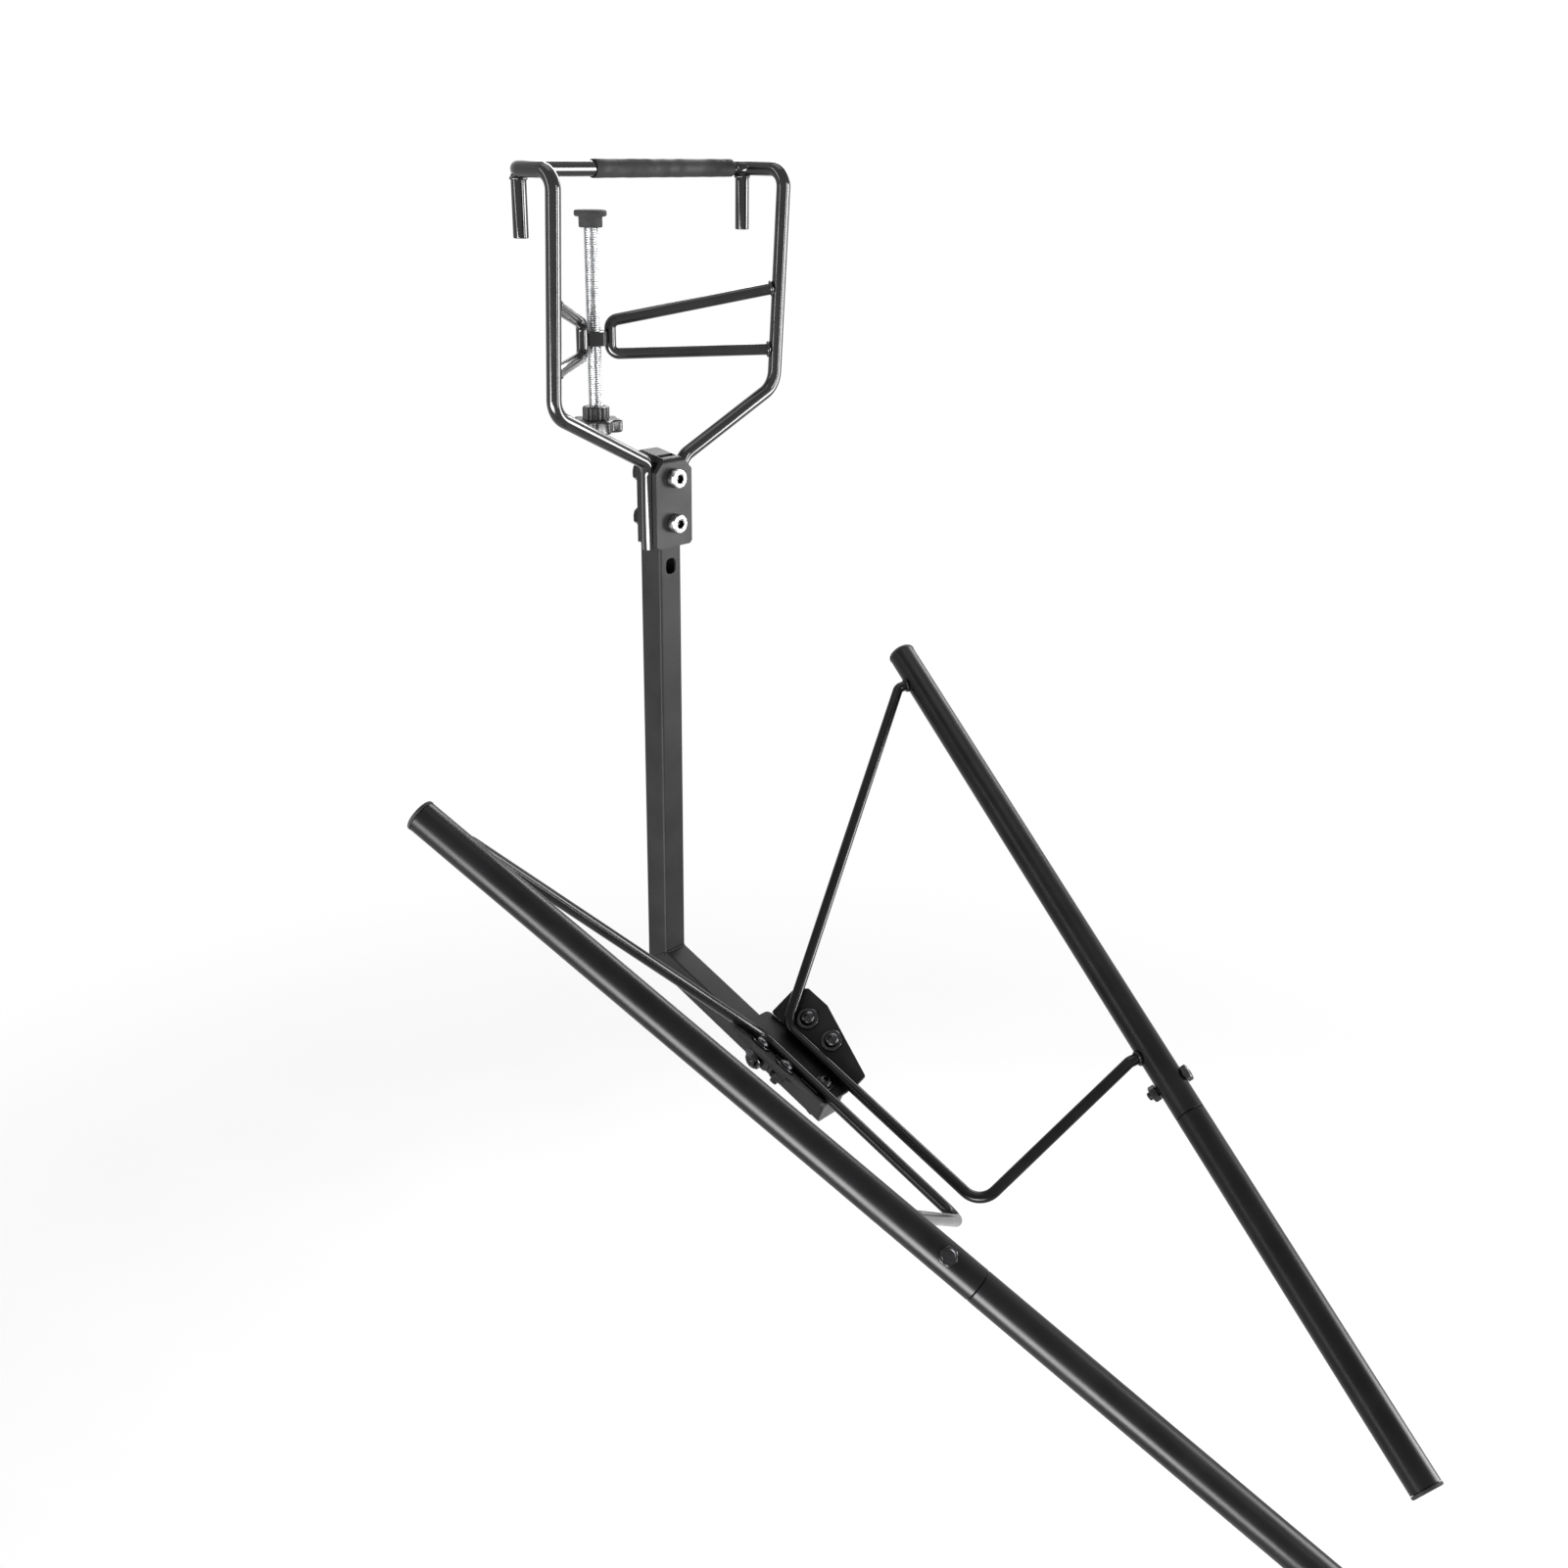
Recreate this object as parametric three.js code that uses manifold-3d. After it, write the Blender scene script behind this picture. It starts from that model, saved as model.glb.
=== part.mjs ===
// A ball return chute that hangs on a hoop's rim.
// Millimetres, +Z up. The court is towards -Y and the backboard towards +Y.
// The origin is where the rim's tube bears under the hanger, in the middle of the hanger's throat.
import * as THREE from 'three';
import { mergeVertices } from 'three/addons/utils/BufferGeometryUtils.js';
import Module from 'manifold-3d';

const wasm = await Module();
wasm.setup();

// Fits shared by every piece
const seat = 0.3; // gap between two pieces that touch
const overrun = 4; // how far a cutter passes the faces that it cuts
const weldTolerance = 0.0001; // vertices nearer than this are one

// Round rods
const rodDiameter = 9.5;
const armRodDiameter = 8;
const wireDiameter = 8;

// Hanger: one bent rod over the rim and down both sides of the post
const hangerSpan = 201; // leg to leg
const throatDepth = 39.4; // leg to crossbar
const topBend = 11;
const cornerBend = 11;
const legBend = 16;
const postBend = 12;
const legDrop = 138.4;
const legLean = 7.5;
const joinDrop = 180;
const rodEndDrop = 238.3;
const stubDrop = 35;

// Rubber sleeve on the crossbar
const sleeveWall = 0.7;
const sleeveSlip = 0.25; // between the rod and the sleeve's bore
const sleeveLeftBare = 54; // straight rod left bare beside the sleeve
const sleeveRightBare = 0.5;

// Tension arms: a hairpin from each leg back to the clamp nut
const armUpperDrop = 71.5;
const armLowerDrop = 113.2;
const hairpinUpperDrop = 94.2;
const hairpinLowerDrop = 116.1;
const hairpinBend = 6;
const screwSetback = 63.5; // screw axis behind the origin
const hairpinForward = 2.5; // hairpins' ends, in front of the screw

// Clamp screw, its nut, foot and knob
const screwDiameter = 9.8;
const boreSlip = 0.3; // round a shank, in every bore
const clampNutAcross = 17;
const clampNutHeight = 10;
const clampNutDrop = 100; // top of the nut
const footTopDrop = 22;
const footDiameter = 22;
const footThickness = 4;
const collarDiameter = 16;
const collarHeight = 7;
const footSocketDepth = 6;
const knobTopDrop = 151;
const knobHubDiameter = 19;
const knobHubHeight = 8.5;
const knobDiameter = 37;
const knobThickness = 9;
const knobLobes = 7;
const knobLobeDepth = 2.1;
const knobRound = 1.4;
const knobSocketDepth = 14;
const hubFlutes = 12;
const hubFluteDepth = 0.5;

// Post bracket: a folded plate over the top of the post
const bracketDrop = 173.5;
const bracketHeight = 63.7;
const bracketWidth = 33;
const bracketPlate = 4;
const bracketFold = 5; // outer radius of the folds
const bracketFall = 3; // the web falls towards the court
const webWidth = 20;
const backWidth = 16;
const bracketChamfer = 9;
const bracketToe = 2; // cut off the lower corners
const webSlotWidth = 14;
const webSlotDepth = 4.5;
const webSlotSetback = 6.5; // from the post's axis, towards the court

// Socket screws and dome nuts that hold the post
const postScrewDrop = 16.8; // first screw below the bracket's top
const postScrewPitch = 30.7;
const postShank = 7.8;
const screwHeadDiameter = 13;
const screwHeadHeight = 6;
const socketAcross = 6;
const socketDepth = 3.2;
const headEdge = 0.9;
const domeNutAcross = 13;
const domeNutHeight = 5.5;
const domeHeight = 3.2;
const domeDiameter = 11.5;
const postScrewEngage = 6;

// Square tube of the post and the arm
const tubeSide = 20;
const tubeWall = 1.5;
const tubeRound = 2;
const slotWidth = 9;
const slotHeight = 11;
const postSlots = 3;
const postFootDrop = 547.6; // where the court face meets the top of the arm
const armAngle = THREE.MathUtils.degToRad(20.7); // below level
const armLength = 170.5;
const plugFlange = 1.6;
const plugDepth = 7.5;
const plugWall = 2;

// Arm bracket: a folded saddle bolted on top of the arm. Places are set back from the arm's end.
const saddlePlate = 2.5;
const saddleHalfWidth = 16;
const saddleBack = 84.5;
const saddleOverhang = 3.5; // past the arm's end
const saddleRound = 5;
const flangeReach = 21;
const flangeBack = 71.5;
const flangeLength = 48;
const earBack = 72;
const earLength = 21;
const earDrop = 17.5;
const earRound = 5;
const crossBoltBack = 61.5;
const crossBoltDrop = 10;
const baseBoltBack = 10.5;

// Chute plates: a trapezoid under each side wire
const chutePlate = 2.5;
const plateBack = 80.5;
const plateLength = 85.5;
const plateReach = 31.5;
const plateCrown = 20;
const plateShoulder = 8;
const plateTip = 12.5;
const plateRound = 2.2;
const wingBoltOut = 14.5;
const wingBoltBack = 56.2;
const wingBoltPitch = 25;
const wingBoltCount = 2;

// Small hex fasteners
const smallShank = 5.8;
const smallHeadAcross = 10;
const smallHeadHeight = 4;
const buttonHeadDiameter = 11;
const buttonHeadHeight = 3.6;
const buttonSocketAcross = 4;
const buttonSocketDepth = 2;
const smallNutHeight = 5;
const smallWasher = 16;
const baseWasher = 14;
const washerThickness = 1.4;
const threadEnd = 2.5; // how far a thread stands out of its nut
const crossShank = 7.8;
const crossHeadAcross = 13;
const crossHeadHeight = 5.3;
const crossNutHeight = 6.5;
const hexChamfer = 0.6;

// Chute rails: two converging tubes, each in two lengths
const railDiameter = 21;
const railWall = 1.5;
const railTopSpread = 233.5; // each side of the middle
const railTopForward = 33.7;
const railTopDrop = 362.1;
const railBottomSpread = 53;
const railBottomForward = 591.6;
const railBottomDrop = 716.7;
const upperRailLength = 427.5;
const spigotLength = 42;
const spigotShoulder = 4;
const railBoltBack = 24; // above the seam
const railBoltTilt = THREE.MathUtils.degToRad(48); // above level
const capFlange = 2.2;
const capRim = 0.5; // wider than the tube
const capDepth = 14;
const capBevel = 0.8;

// Side wires
const wireBend = 15;
const hookBend = 6;
const wireLowBack = 62.7; // the bend on to the arm, set back from its end
const wireOverhang = 127.6; // how far the wires run on past the arm's end
const wireHook = 7; // straight end that meets the rail
const wireTopAlong = 28;
const wireFootBack = 48.8; // above the seam
const wireMeet = THREE.MathUtils.degToRad(16.5); // below level, round the rail

// Facets
const rodSides = 14;
const tubeSides = 24;
const boreSides = 18;
const bendSteps = 5;
const cornerSteps = 3;
const domeSteps = 5;

const saddleStart = armLength - saddleBack;
const saddleEnd = armLength + saddleOverhang;
const flangeStart = armLength - flangeBack;
const flangeEnd = flangeStart + flangeLength;
const earStart = armLength - earBack;
const earEnd = earStart + earLength;
const crossBoltAlong = armLength - crossBoltBack;
const baseBoltAlong = armLength - baseBoltBack;
const plateStart = armLength - plateBack;
const plateEnd = plateStart + plateLength;
const wingBoltAlong = armLength - wingBoltBack;
const wireLowStart = armLength - wireLowBack;
const wireLowEnd = armLength + wireOverhang;
const wireFootAlong = upperRailLength - wireFootBack;
const rodRadius = rodDiameter / 2;
const armRodRadius = armRodDiameter / 2;
const wireRadius = wireDiameter / 2;
const railRadius = railDiameter / 2;
const halfTube = tubeSide / 2;
const up = new THREE.Vector3(0, 0, 1);

const model = new THREE.Group();

function finish(color, roughness, metalness) {
  return new THREE.MeshStandardMaterial({ color, roughness, metalness });
}

const finishes = {
  glossBlack: finish(0x0d0d0e, 0.22, 0.55),
  satinBlack: finish(0x353537, 0.5, 0.4),
  plateBlack: finish(0x262627, 0.45, 0.45),
  rubber: finish(0x18181a, 0.85, 0.0),
  plastic: finish(0x121213, 0.4, 0.0),
  zinc: finish(0xc4c6c8, 0.3, 0.95),
  blackSteel: finish(0x1c1c1e, 0.35, 0.8),
};

function addPiece(parent, name, geometry, material) {
  geometry.computeVertexNormals();
  const mesh = new THREE.Mesh(geometry, finishes[material].clone());
  mesh.name = name;
  parent.add(mesh);
  return mesh;
}

// Solids for cutting and joining
function toSolid(geometry) {
  const bare = geometry.clone();
  bare.deleteAttribute('normal');
  bare.deleteAttribute('uv');
  const welded = mergeVertices(bare, weldTolerance);
  const vertProperties = new Float32Array(welded.attributes.position.array);
  const triVerts = new Uint32Array(welded.index.array);
  return new wasm.Manifold(new wasm.Mesh({ numProp: 3, vertProperties, triVerts }));
}

function toGeometry(solid) {
  const mesh = solid.getMesh();
  const geometry = new THREE.BufferGeometry();
  geometry.setAttribute('position', new THREE.BufferAttribute(mesh.vertProperties, 3));
  geometry.setIndex(new THREE.BufferAttribute(mesh.triVerts, 1));
  return geometry.toNonIndexed();
}

function join(first, ...others) {
  return toGeometry(others.reduce((solid, other) => solid.add(toSolid(other)), toSolid(first)));
}

function cut(first, ...cutters) {
  return toGeometry(cutters.reduce((solid, cutter) => solid.subtract(toSolid(cutter)), toSolid(first)));
}

// Outlines
function circleShape(radius) {
  return new THREE.Shape().absarc(0, 0, radius, 0, 2 * Math.PI);
}

function hexShape(across) {
  const corner = across / Math.sqrt(3);
  const points = [];
  for (let k = 0; k < 6; k++) {
    const angle = ((k + 0.5) * Math.PI) / 3;
    points.push(new THREE.Vector2(corner * Math.cos(angle), corner * Math.sin(angle)));
  }
  return new THREE.Shape(points);
}

// A polygon whose corners are rounded by arcs of one radius
function roundedShape(corners, radius) {
  const shape = new THREE.Shape();
  const count = corners.length;
  for (let k = 0; k < count; k++) {
    const corner = corners[k];
    const back = corners[(k + count - 1) % count].clone().sub(corner).normalize();
    const ahead = corners[(k + 1) % count].clone().sub(corner).normalize();
    const half = back.angleTo(ahead) / 2;
    const setback = radius / Math.tan(half);
    const start = corner.clone().addScaledVector(back, setback);
    const end = corner.clone().addScaledVector(ahead, setback);
    if (k === 0) shape.moveTo(start.x, start.y);
    else shape.lineTo(start.x, start.y);
    shape.quadraticCurveTo(corner.x, corner.y, end.x, end.y);
  }
  shape.closePath();
  return shape;
}

function boxCorners(left, right, low, high) {
  return [
    new THREE.Vector2(left, low),
    new THREE.Vector2(right, low),
    new THREE.Vector2(right, high),
    new THREE.Vector2(left, high),
  ];
}

function extrude(shape, depth, segments = 6) {
  return new THREE.ExtrudeGeometry(shape, { depth, bevelEnabled: false, curveSegments: segments });
}

// A round bar along +Z from low to high
function bar(radius, low, high, sides = boreSides) {
  const geometry = new THREE.CylinderGeometry(radius, radius, high - low, sides);
  return geometry.rotateX(Math.PI / 2).translate(0, 0, (low + high) / 2);
}

// A turned piece about Z from its half profile, given as [radius, height] pairs
function turned(profile, sides) {
  const points = profile.map(([radius, height]) => new THREE.Vector2(radius, height));
  return new THREE.LatheGeometry(points, sides).rotateX(Math.PI / 2);
}

// A tube about Z
function pipe(outer, inner, low, high, sides = tubeSides) {
  return turned([[inner, low], [outer, low], [outer, high], [inner, high], [inner, low]], sides);
}

// A rod's centre line: straight runs joined by round bends, with stations only where the rod turns
class BentLine extends THREE.Curve {
  constructor(corners, radii) {
    super();
    const first = corners[1].clone().sub(corners[0]).normalize();
    this.stations = [{ point: corners[0], tangent: first }];
    for (let k = 1; k < corners.length - 1; k++) {
      this.addBend(corners[k - 1], corners[k], corners[k + 1], radii[k - 1]);
    }
    const last = corners[corners.length - 1];
    const along = last.clone().sub(corners[corners.length - 2]).normalize();
    this.stations.push({ point: last, tangent: along });
  }

  addBend(before, corner, after, radius) {
    const inward = corner.clone().sub(before).normalize();
    const outward = after.clone().sub(corner).normalize();
    const turn = inward.angleTo(outward);
    const side = outward.clone().addScaledVector(inward, -outward.dot(inward)).normalize();
    const start = corner.clone().addScaledVector(inward, -radius * Math.tan(turn / 2));
    const centre = start.addScaledVector(side, radius);
    for (let k = 0; k <= bendSteps; k++) {
      const angle = (turn * k) / bendSteps;
      const point = centre.clone().addScaledVector(side, -radius * Math.cos(angle));
      point.addScaledVector(inward, radius * Math.sin(angle));
      const tangent = inward.clone().multiplyScalar(Math.cos(angle)).addScaledVector(side, Math.sin(angle));
      this.stations.push({ point, tangent });
    }
  }

  station(share) {
    return this.stations[Math.round(share * (this.stations.length - 1))];
  }

  getPoint(share) {
    return this.station(share).point.clone();
  }

  getPointAt(share) {
    return this.getPoint(share);
  }

  getTangent(share) {
    return this.station(share).tangent.clone();
  }

  getTangentAt(share) {
    return this.getTangent(share);
  }
}

function bentRod(corners, radii, radius) {
  const extrudePath = new BentLine(corners, radii);
  const steps = extrudePath.stations.length - 1;
  const curveSegments = rodSides / 2;
  return new THREE.ExtrudeGeometry(circleShape(radius), { extrudePath, steps, curveSegments });
}

// Hex fasteners stand on Z: the underside of the head, or the seat of the nut, is at zero
function hexPrism(across, low, high) {
  const corner = across / Math.sqrt(3);
  const body = extrude(hexShape(across), high - low).translate(0, 0, low);
  const edge = corner + overrun;
  const rim = across / 2;
  const slope = overrun + corner - rim;
  const crown = turned(
    [[0, low], [edge, low], [edge, high - hexChamfer - slope / 2], [rim, high], [0, high]],
    boreSides,
  );
  return toGeometry(toSolid(body).intersect(toSolid(crown)));
}

function hexBolt(shankRadius, length, across, height) {
  return join(hexPrism(across, 0, height), bar(shankRadius, -length, height / 2));
}

// A low domed head with a hex socket
function buttonBolt(shankRadius, length) {
  const radius = buttonHeadDiameter / 2;
  const profile = [[0, -length], [shankRadius, -length], [shankRadius, 0], [radius, 0]];
  for (let k = 1; k < domeSteps; k++) {
    const angle = (Math.PI / 2) * (k / domeSteps);
    profile.push([radius * Math.cos(angle), buttonHeadHeight * Math.sin(angle)]);
  }
  profile.push([0, buttonHeadHeight]);
  const socket = extrude(hexShape(buttonSocketAcross), buttonSocketDepth + overrun);
  return cut(turned(profile, boreSides), socket.translate(0, 0, buttonHeadHeight - buttonSocketDepth));
}

function hexNut(across, height, shankRadius) {
  return cut(hexPrism(across, 0, height), bar(shankRadius + boreSlip, -overrun, height + overrun));
}

function washer(diameter, shankRadius) {
  return pipe(diameter / 2, shankRadius + boreSlip, 0, washerThickness, boreSides);
}

// Hanger
const legY = -throatDepth / 2;
const crossbarY = throatDepth / 2;
const legFootY = legY + legLean;
const legX = hangerSpan / 2;
const rodJoinX = halfTube + seat + rodRadius;
const rodJoinY = -halfTube + rodRadius;
const cornerInset = cornerBend * (1 - Math.SQRT1_2);

function hangerRod() {
  const half = (side) => [
    new THREE.Vector3(side * rodJoinX, rodJoinY, -rodEndDrop),
    new THREE.Vector3(side * rodJoinX, rodJoinY, -joinDrop),
    new THREE.Vector3(side * legX, legFootY, -legDrop),
    new THREE.Vector3(side * legX, legY, rodRadius),
    new THREE.Vector3(side * legX, crossbarY, rodRadius),
  ];
  const radii = [postBend, legBend, topBend, cornerBend];
  return bentRod([...half(-1), ...half(1).reverse()], [...radii, ...radii.toReversed()], rodRadius);
}

function stub(side) {
  const x = side * (legX - cornerInset);
  return bar(rodRadius, -stubDrop, -seat, rodSides).translate(x, crossbarY - cornerInset, 0);
}

function rimSleeve() {
  const bore = rodRadius + sleeveSlip;
  const straight = legX - cornerBend;
  const left = sleeveLeftBare - straight;
  const tube = pipe(bore + sleeveWall, bore, left, straight - sleeveRightBare, boreSides);
  return tube.rotateY(Math.PI / 2).translate(0, crossbarY, rodRadius);
}

// The leg's centre line leans, so a place on it follows its height
function legPoint(side, drop) {
  const share = (drop + rodRadius) / (legDrop + rodRadius);
  return new THREE.Vector3(side * legX, legY + legLean * share, -drop);
}

const hairpinX = clampNutAcross / 2 + seat + armRodRadius;
const hairpinY = screwSetback - hairpinForward;

function tensionArm(side) {
  const upper = new THREE.Vector3(side * hairpinX, hairpinY, -hairpinUpperDrop);
  const lower = new THREE.Vector3(side * hairpinX, hairpinY, -hairpinLowerDrop);
  const ends = [[armUpperDrop, upper], [armLowerDrop, lower]].map(([drop, corner]) => {
    const onLeg = legPoint(side, drop);
    const away = corner.clone().sub(onLeg).normalize();
    const alongLeg = legPoint(side, drop + rodDiameter).sub(onLeg).normalize();
    const tilt = armRodRadius * Math.abs(away.dot(alongLeg));
    return onLeg.addScaledVector(away, rodRadius + seat + tilt);
  });
  return bentRod([ends[0], upper, lower, ends[1]], [hairpinBend, hairpinBend], armRodRadius);
}

// Clamp
const screwRadius = screwDiameter / 2;
const screwTop = -footTopDrop - footThickness - collarHeight + footSocketDepth - seat;
const screwBottom = -knobTopDrop - knobSocketDepth + seat;
const knobBottom = -knobTopDrop - knobHubHeight - knobThickness;

function clampNut() {
  const nut = hexNut(clampNutAcross, clampNutHeight, screwRadius);
  return nut.translate(0, screwSetback, -clampNutDrop - clampNutHeight);
}

function clampFoot() {
  const top = -footTopDrop;
  const flangeLow = top - footThickness;
  const collarLow = flangeLow - collarHeight;
  const bore = screwRadius + boreSlip;
  const socketTop = collarLow + footSocketDepth;
  const foot = turned(
    [
      [0, socketTop], [bore, socketTop], [bore, collarLow], [collarDiameter / 2, collarLow],
      [collarDiameter / 2, flangeLow], [footDiameter / 2, flangeLow], [footDiameter / 2, top], [0, top],
    ],
    tubeSides,
  );
  return foot.translate(0, screwSetback, 0);
}

function clampScrew() {
  return bar(screwRadius, screwBottom, screwTop, boreSides).translate(0, screwSetback, 0);
}

// A round outline that swells in and out a whole number of times
function waveShape(radius, depth, waves, steps) {
  const points = [];
  for (let k = 0; k < steps; k++) {
    const angle = (2 * Math.PI * k) / steps;
    const reach = radius - depth + depth * Math.cos(waves * angle);
    points.push(new THREE.Vector2(reach * Math.cos(angle), reach * Math.sin(angle)));
  }
  return new THREE.Shape(points);
}

function starKnob() {
  const rim = waveShape(knobDiameter / 2 - knobRound, knobLobeDepth, knobLobes, knobLobes * 8);
  const disc = new THREE.ExtrudeGeometry(rim, {
    depth: knobThickness - 2 * knobRound,
    bevelThickness: knobRound,
    bevelSize: knobRound,
    bevelSegments: 2,
  });
  disc.translate(0, 0, knobBottom + knobRound);
  const hubOutline = waveShape(knobHubDiameter / 2, hubFluteDepth, hubFlutes, hubFlutes * 4);
  const hubLow = -knobTopDrop - knobHubHeight;
  const hub = extrude(hubOutline, knobHubHeight + knobThickness / 2);
  hub.translate(0, 0, hubLow - knobThickness / 2);
  const bore = bar(screwRadius + boreSlip, -knobTopDrop - knobSocketDepth, -knobTopDrop + overrun);
  const body = toSolid(disc).add(toSolid(hub)).subtract(toSolid(bore));
  return toGeometry(body).translate(0, screwSetback, 0);
}

// Post bracket and what holds the post in it
const bracketOuter = halfTube + seat + bracketPlate;

function postScrewZ(index) {
  return -bracketDrop - postScrewDrop - index * postScrewPitch;
}

// A cutter along Y, of one outline, at a height
function crossCut(shape, z) {
  const length = 2 * (bracketOuter + overrun);
  return extrude(shape, length).rotateX(Math.PI / 2).translate(0, length / 2, z);
}

function postBracket() {
  const low = -bracketDrop - bracketHeight;
  const inner = bracketOuter - bracketPlate;
  const front = -bracketDrop - bracketFall;
  const back = -bracketDrop;
  const section = new THREE.Shape();
  section.moveTo(-bracketOuter, low);
  section.lineTo(-bracketOuter, front - bracketFold);
  section.quadraticCurveTo(-bracketOuter, front, -bracketOuter + bracketFold, front);
  section.lineTo(bracketOuter - bracketFold, back);
  section.quadraticCurveTo(bracketOuter, back, bracketOuter, back - bracketFold);
  section.lineTo(bracketOuter, low);
  section.lineTo(inner, low);
  section.lineTo(inner, back - bracketPlate);
  section.lineTo(-inner, front - bracketPlate);
  section.lineTo(-inner, low);
  const half = bracketWidth / 2;
  const folded = extrude(section, bracketWidth, bendSteps).rotateX(Math.PI / 2).rotateZ(Math.PI / 2);
  folded.translate(-half, 0, 0);
  const face = new THREE.Shape();
  face.moveTo(-half + bracketToe, low);
  face.lineTo(half - bracketToe, low);
  face.lineTo(half, low + bracketToe);
  face.lineTo(half, front - bracketChamfer);
  face.lineTo(half - bracketChamfer, front);
  face.lineTo(half - bracketChamfer, back);
  face.lineTo(-half + bracketChamfer, back);
  face.lineTo(-half + bracketChamfer, front);
  face.lineTo(-half, front - bracketChamfer);
  face.lineTo(-half, low + bracketToe);
  // Seen from above: the court plate is wide, the web and the back plate are narrower
  const plan = new THREE.Shape();
  plan.moveTo(-half, -bracketOuter);
  plan.lineTo(half, -bracketOuter);
  plan.lineTo(half, -inner);
  plan.lineTo(webWidth / 2, -inner);
  plan.lineTo(webWidth / 2, halfTube);
  plan.lineTo(backWidth / 2, inner);
  plan.lineTo(backWidth / 2, bracketOuter);
  plan.lineTo(-backWidth / 2, bracketOuter);
  plan.lineTo(-backWidth / 2, inner);
  plan.lineTo(-webWidth / 2, halfTube);
  plan.lineTo(-webWidth / 2, -inner);
  plan.lineTo(-half, -inner);
  const column = extrude(plan, bracketHeight + 2 * overrun).translate(0, 0, low - overrun);
  let plate = toSolid(folded).intersect(toSolid(crossCut(face, 0))).intersect(toSolid(column));
  for (let k = 0; k < postSlots - 1; k++) {
    const hole = crossCut(circleShape(postShank / 2 + boreSlip), postScrewZ(k));
    plate = plate.subtract(toSolid(hole));
  }
  const slot = new THREE.BoxGeometry(webSlotWidth, webSlotDepth, 2 * bracketFold + overrun);
  return toGeometry(plate.subtract(toSolid(slot.translate(0, -webSlotSetback, -bracketDrop))));
}

// Fasteners along Y: the head faces the court
function towardsCourt(geometry, index) {
  return geometry.rotateX(Math.PI / 2).translate(0, -bracketOuter - seat, postScrewZ(index));
}

function postScrew(index) {
  const radius = screwHeadDiameter / 2;
  const length = 2 * bracketOuter + 2 * seat + postScrewEngage;
  const body = turned(
    [
      [0, -length], [postShank / 2, -length], [postShank / 2, 0], [radius, 0],
      [radius, screwHeadHeight - headEdge], [radius - headEdge, screwHeadHeight], [0, screwHeadHeight],
    ],
    boreSides,
  );
  const socket = extrude(hexShape(socketAcross), socketDepth + overrun);
  return towardsCourt(cut(body, socket.translate(0, 0, screwHeadHeight - socketDepth)), index);
}

function domeNut(index) {
  const radius = domeDiameter / 2;
  const dome = turned(
    [
      [0, domeNutHeight / 2], [radius, domeNutHeight / 2], [radius, domeNutHeight],
      [radius * Math.cos(Math.PI / 4), domeNutHeight + domeHeight * Math.sin(Math.PI / 4)],
      [0, domeNutHeight + domeHeight],
    ],
    boreSides,
  );
  const bore = bar(postShank / 2 + boreSlip, -overrun, postScrewEngage + seat);
  const nut = toSolid(hexPrism(domeNutAcross, 0, domeNutHeight)).add(toSolid(dome)).subtract(toSolid(bore));
  return toGeometry(nut).rotateX(-Math.PI / 2).translate(0, bracketOuter + seat, postScrewZ(index));
}

// Post and arm, mitred where they meet
const mitre = (Math.PI / 2 - armAngle) / 2;
const mitreReach = tubeSide * Math.tan(mitre);
const postTop = -bracketDrop - bracketFall - bracketPlate - seat;

function squareTube(length) {
  const outline = roundedShape(boxCorners(-halfTube, halfTube, -halfTube, halfTube), tubeRound);
  const bore = halfTube - tubeWall;
  outline.holes.push(roundedShape(boxCorners(-bore, bore, -bore, bore), tubeRound - tubeWall));
  return extrude(outline, length, cornerSteps);
}

// A block that takes away everything under (or over) the mitre's plane through the inner corner
function mitreBlock(over, tilt) {
  const size = 2 * (tubeSide + mitreReach + overrun);
  const offset = over ? size / 2 + seat / 2 : seat / 2 - size / 2;
  return new THREE.BoxGeometry(size, size, size).translate(0, 0, offset).rotateX(tilt);
}

function post() {
  const low = -postFootDrop - mitreReach - overrun;
  const tube = squareTube(postTop - low).translate(0, 0, low);
  const block = mitreBlock(false, -mitre).translate(0, -halfTube, -postFootDrop);
  const slots = [];
  for (let k = 0; k < postSlots; k++) {
    const half = slotHeight / 2;
    const outline = roundedShape(boxCorners(-slotWidth / 2, slotWidth / 2, -half, half), slotWidth / 2.2);
    slots.push(crossCut(outline, postScrewZ(k)));
  }
  return cut(tube, block, ...slots);
}

// In the arm's own frame the top face is at zero, and the arm runs towards -Y from the inner corner
const armFrame = new THREE.Group();
armFrame.rotation.x = armAngle;
armFrame.position.set(0, -halfTube, -postFootDrop);

function arm() {
  const length = armLength + mitreReach + overrun;
  const tube = squareTube(length).rotateX(Math.PI / 2);
  tube.translate(0, mitreReach + overrun, -halfTube);
  const block = mitreBlock(true, mitre - Math.PI / 2);
  const side = bar(crossShank / 2 + boreSlip, -tubeSide, tubeSide).rotateY(Math.PI / 2);
  side.translate(0, -crossBoltAlong, -crossBoltDrop);
  const down = bar(smallShank / 2 + boreSlip, -tubeSide - overrun, overrun).translate(0, -baseBoltAlong, 0);
  return cut(tube, block, side, down);
}

function armPlug() {
  const boss = halfTube - tubeWall - seat;
  const hollow = boss - plugWall;
  const square = (half, round, depth) =>
    extrude(roundedShape(boxCorners(-half, half, -half, half), round), depth, cornerSteps);
  const flange = square(halfTube, tubeRound, plugFlange);
  const core = square(boss, tubeRound - tubeWall, plugDepth);
  const pocket = square(hollow, tubeRound, plugDepth);
  const body = toSolid(flange).add(toSolid(core.translate(0, 0, plugFlange - plugDepth)));
  const plug = toGeometry(body.subtract(toSolid(pocket.translate(0, 0, -plugDepth))));
  return plug.rotateX(Math.PI / 2).translate(0, -armLength - seat, -halfTube);
}

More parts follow.
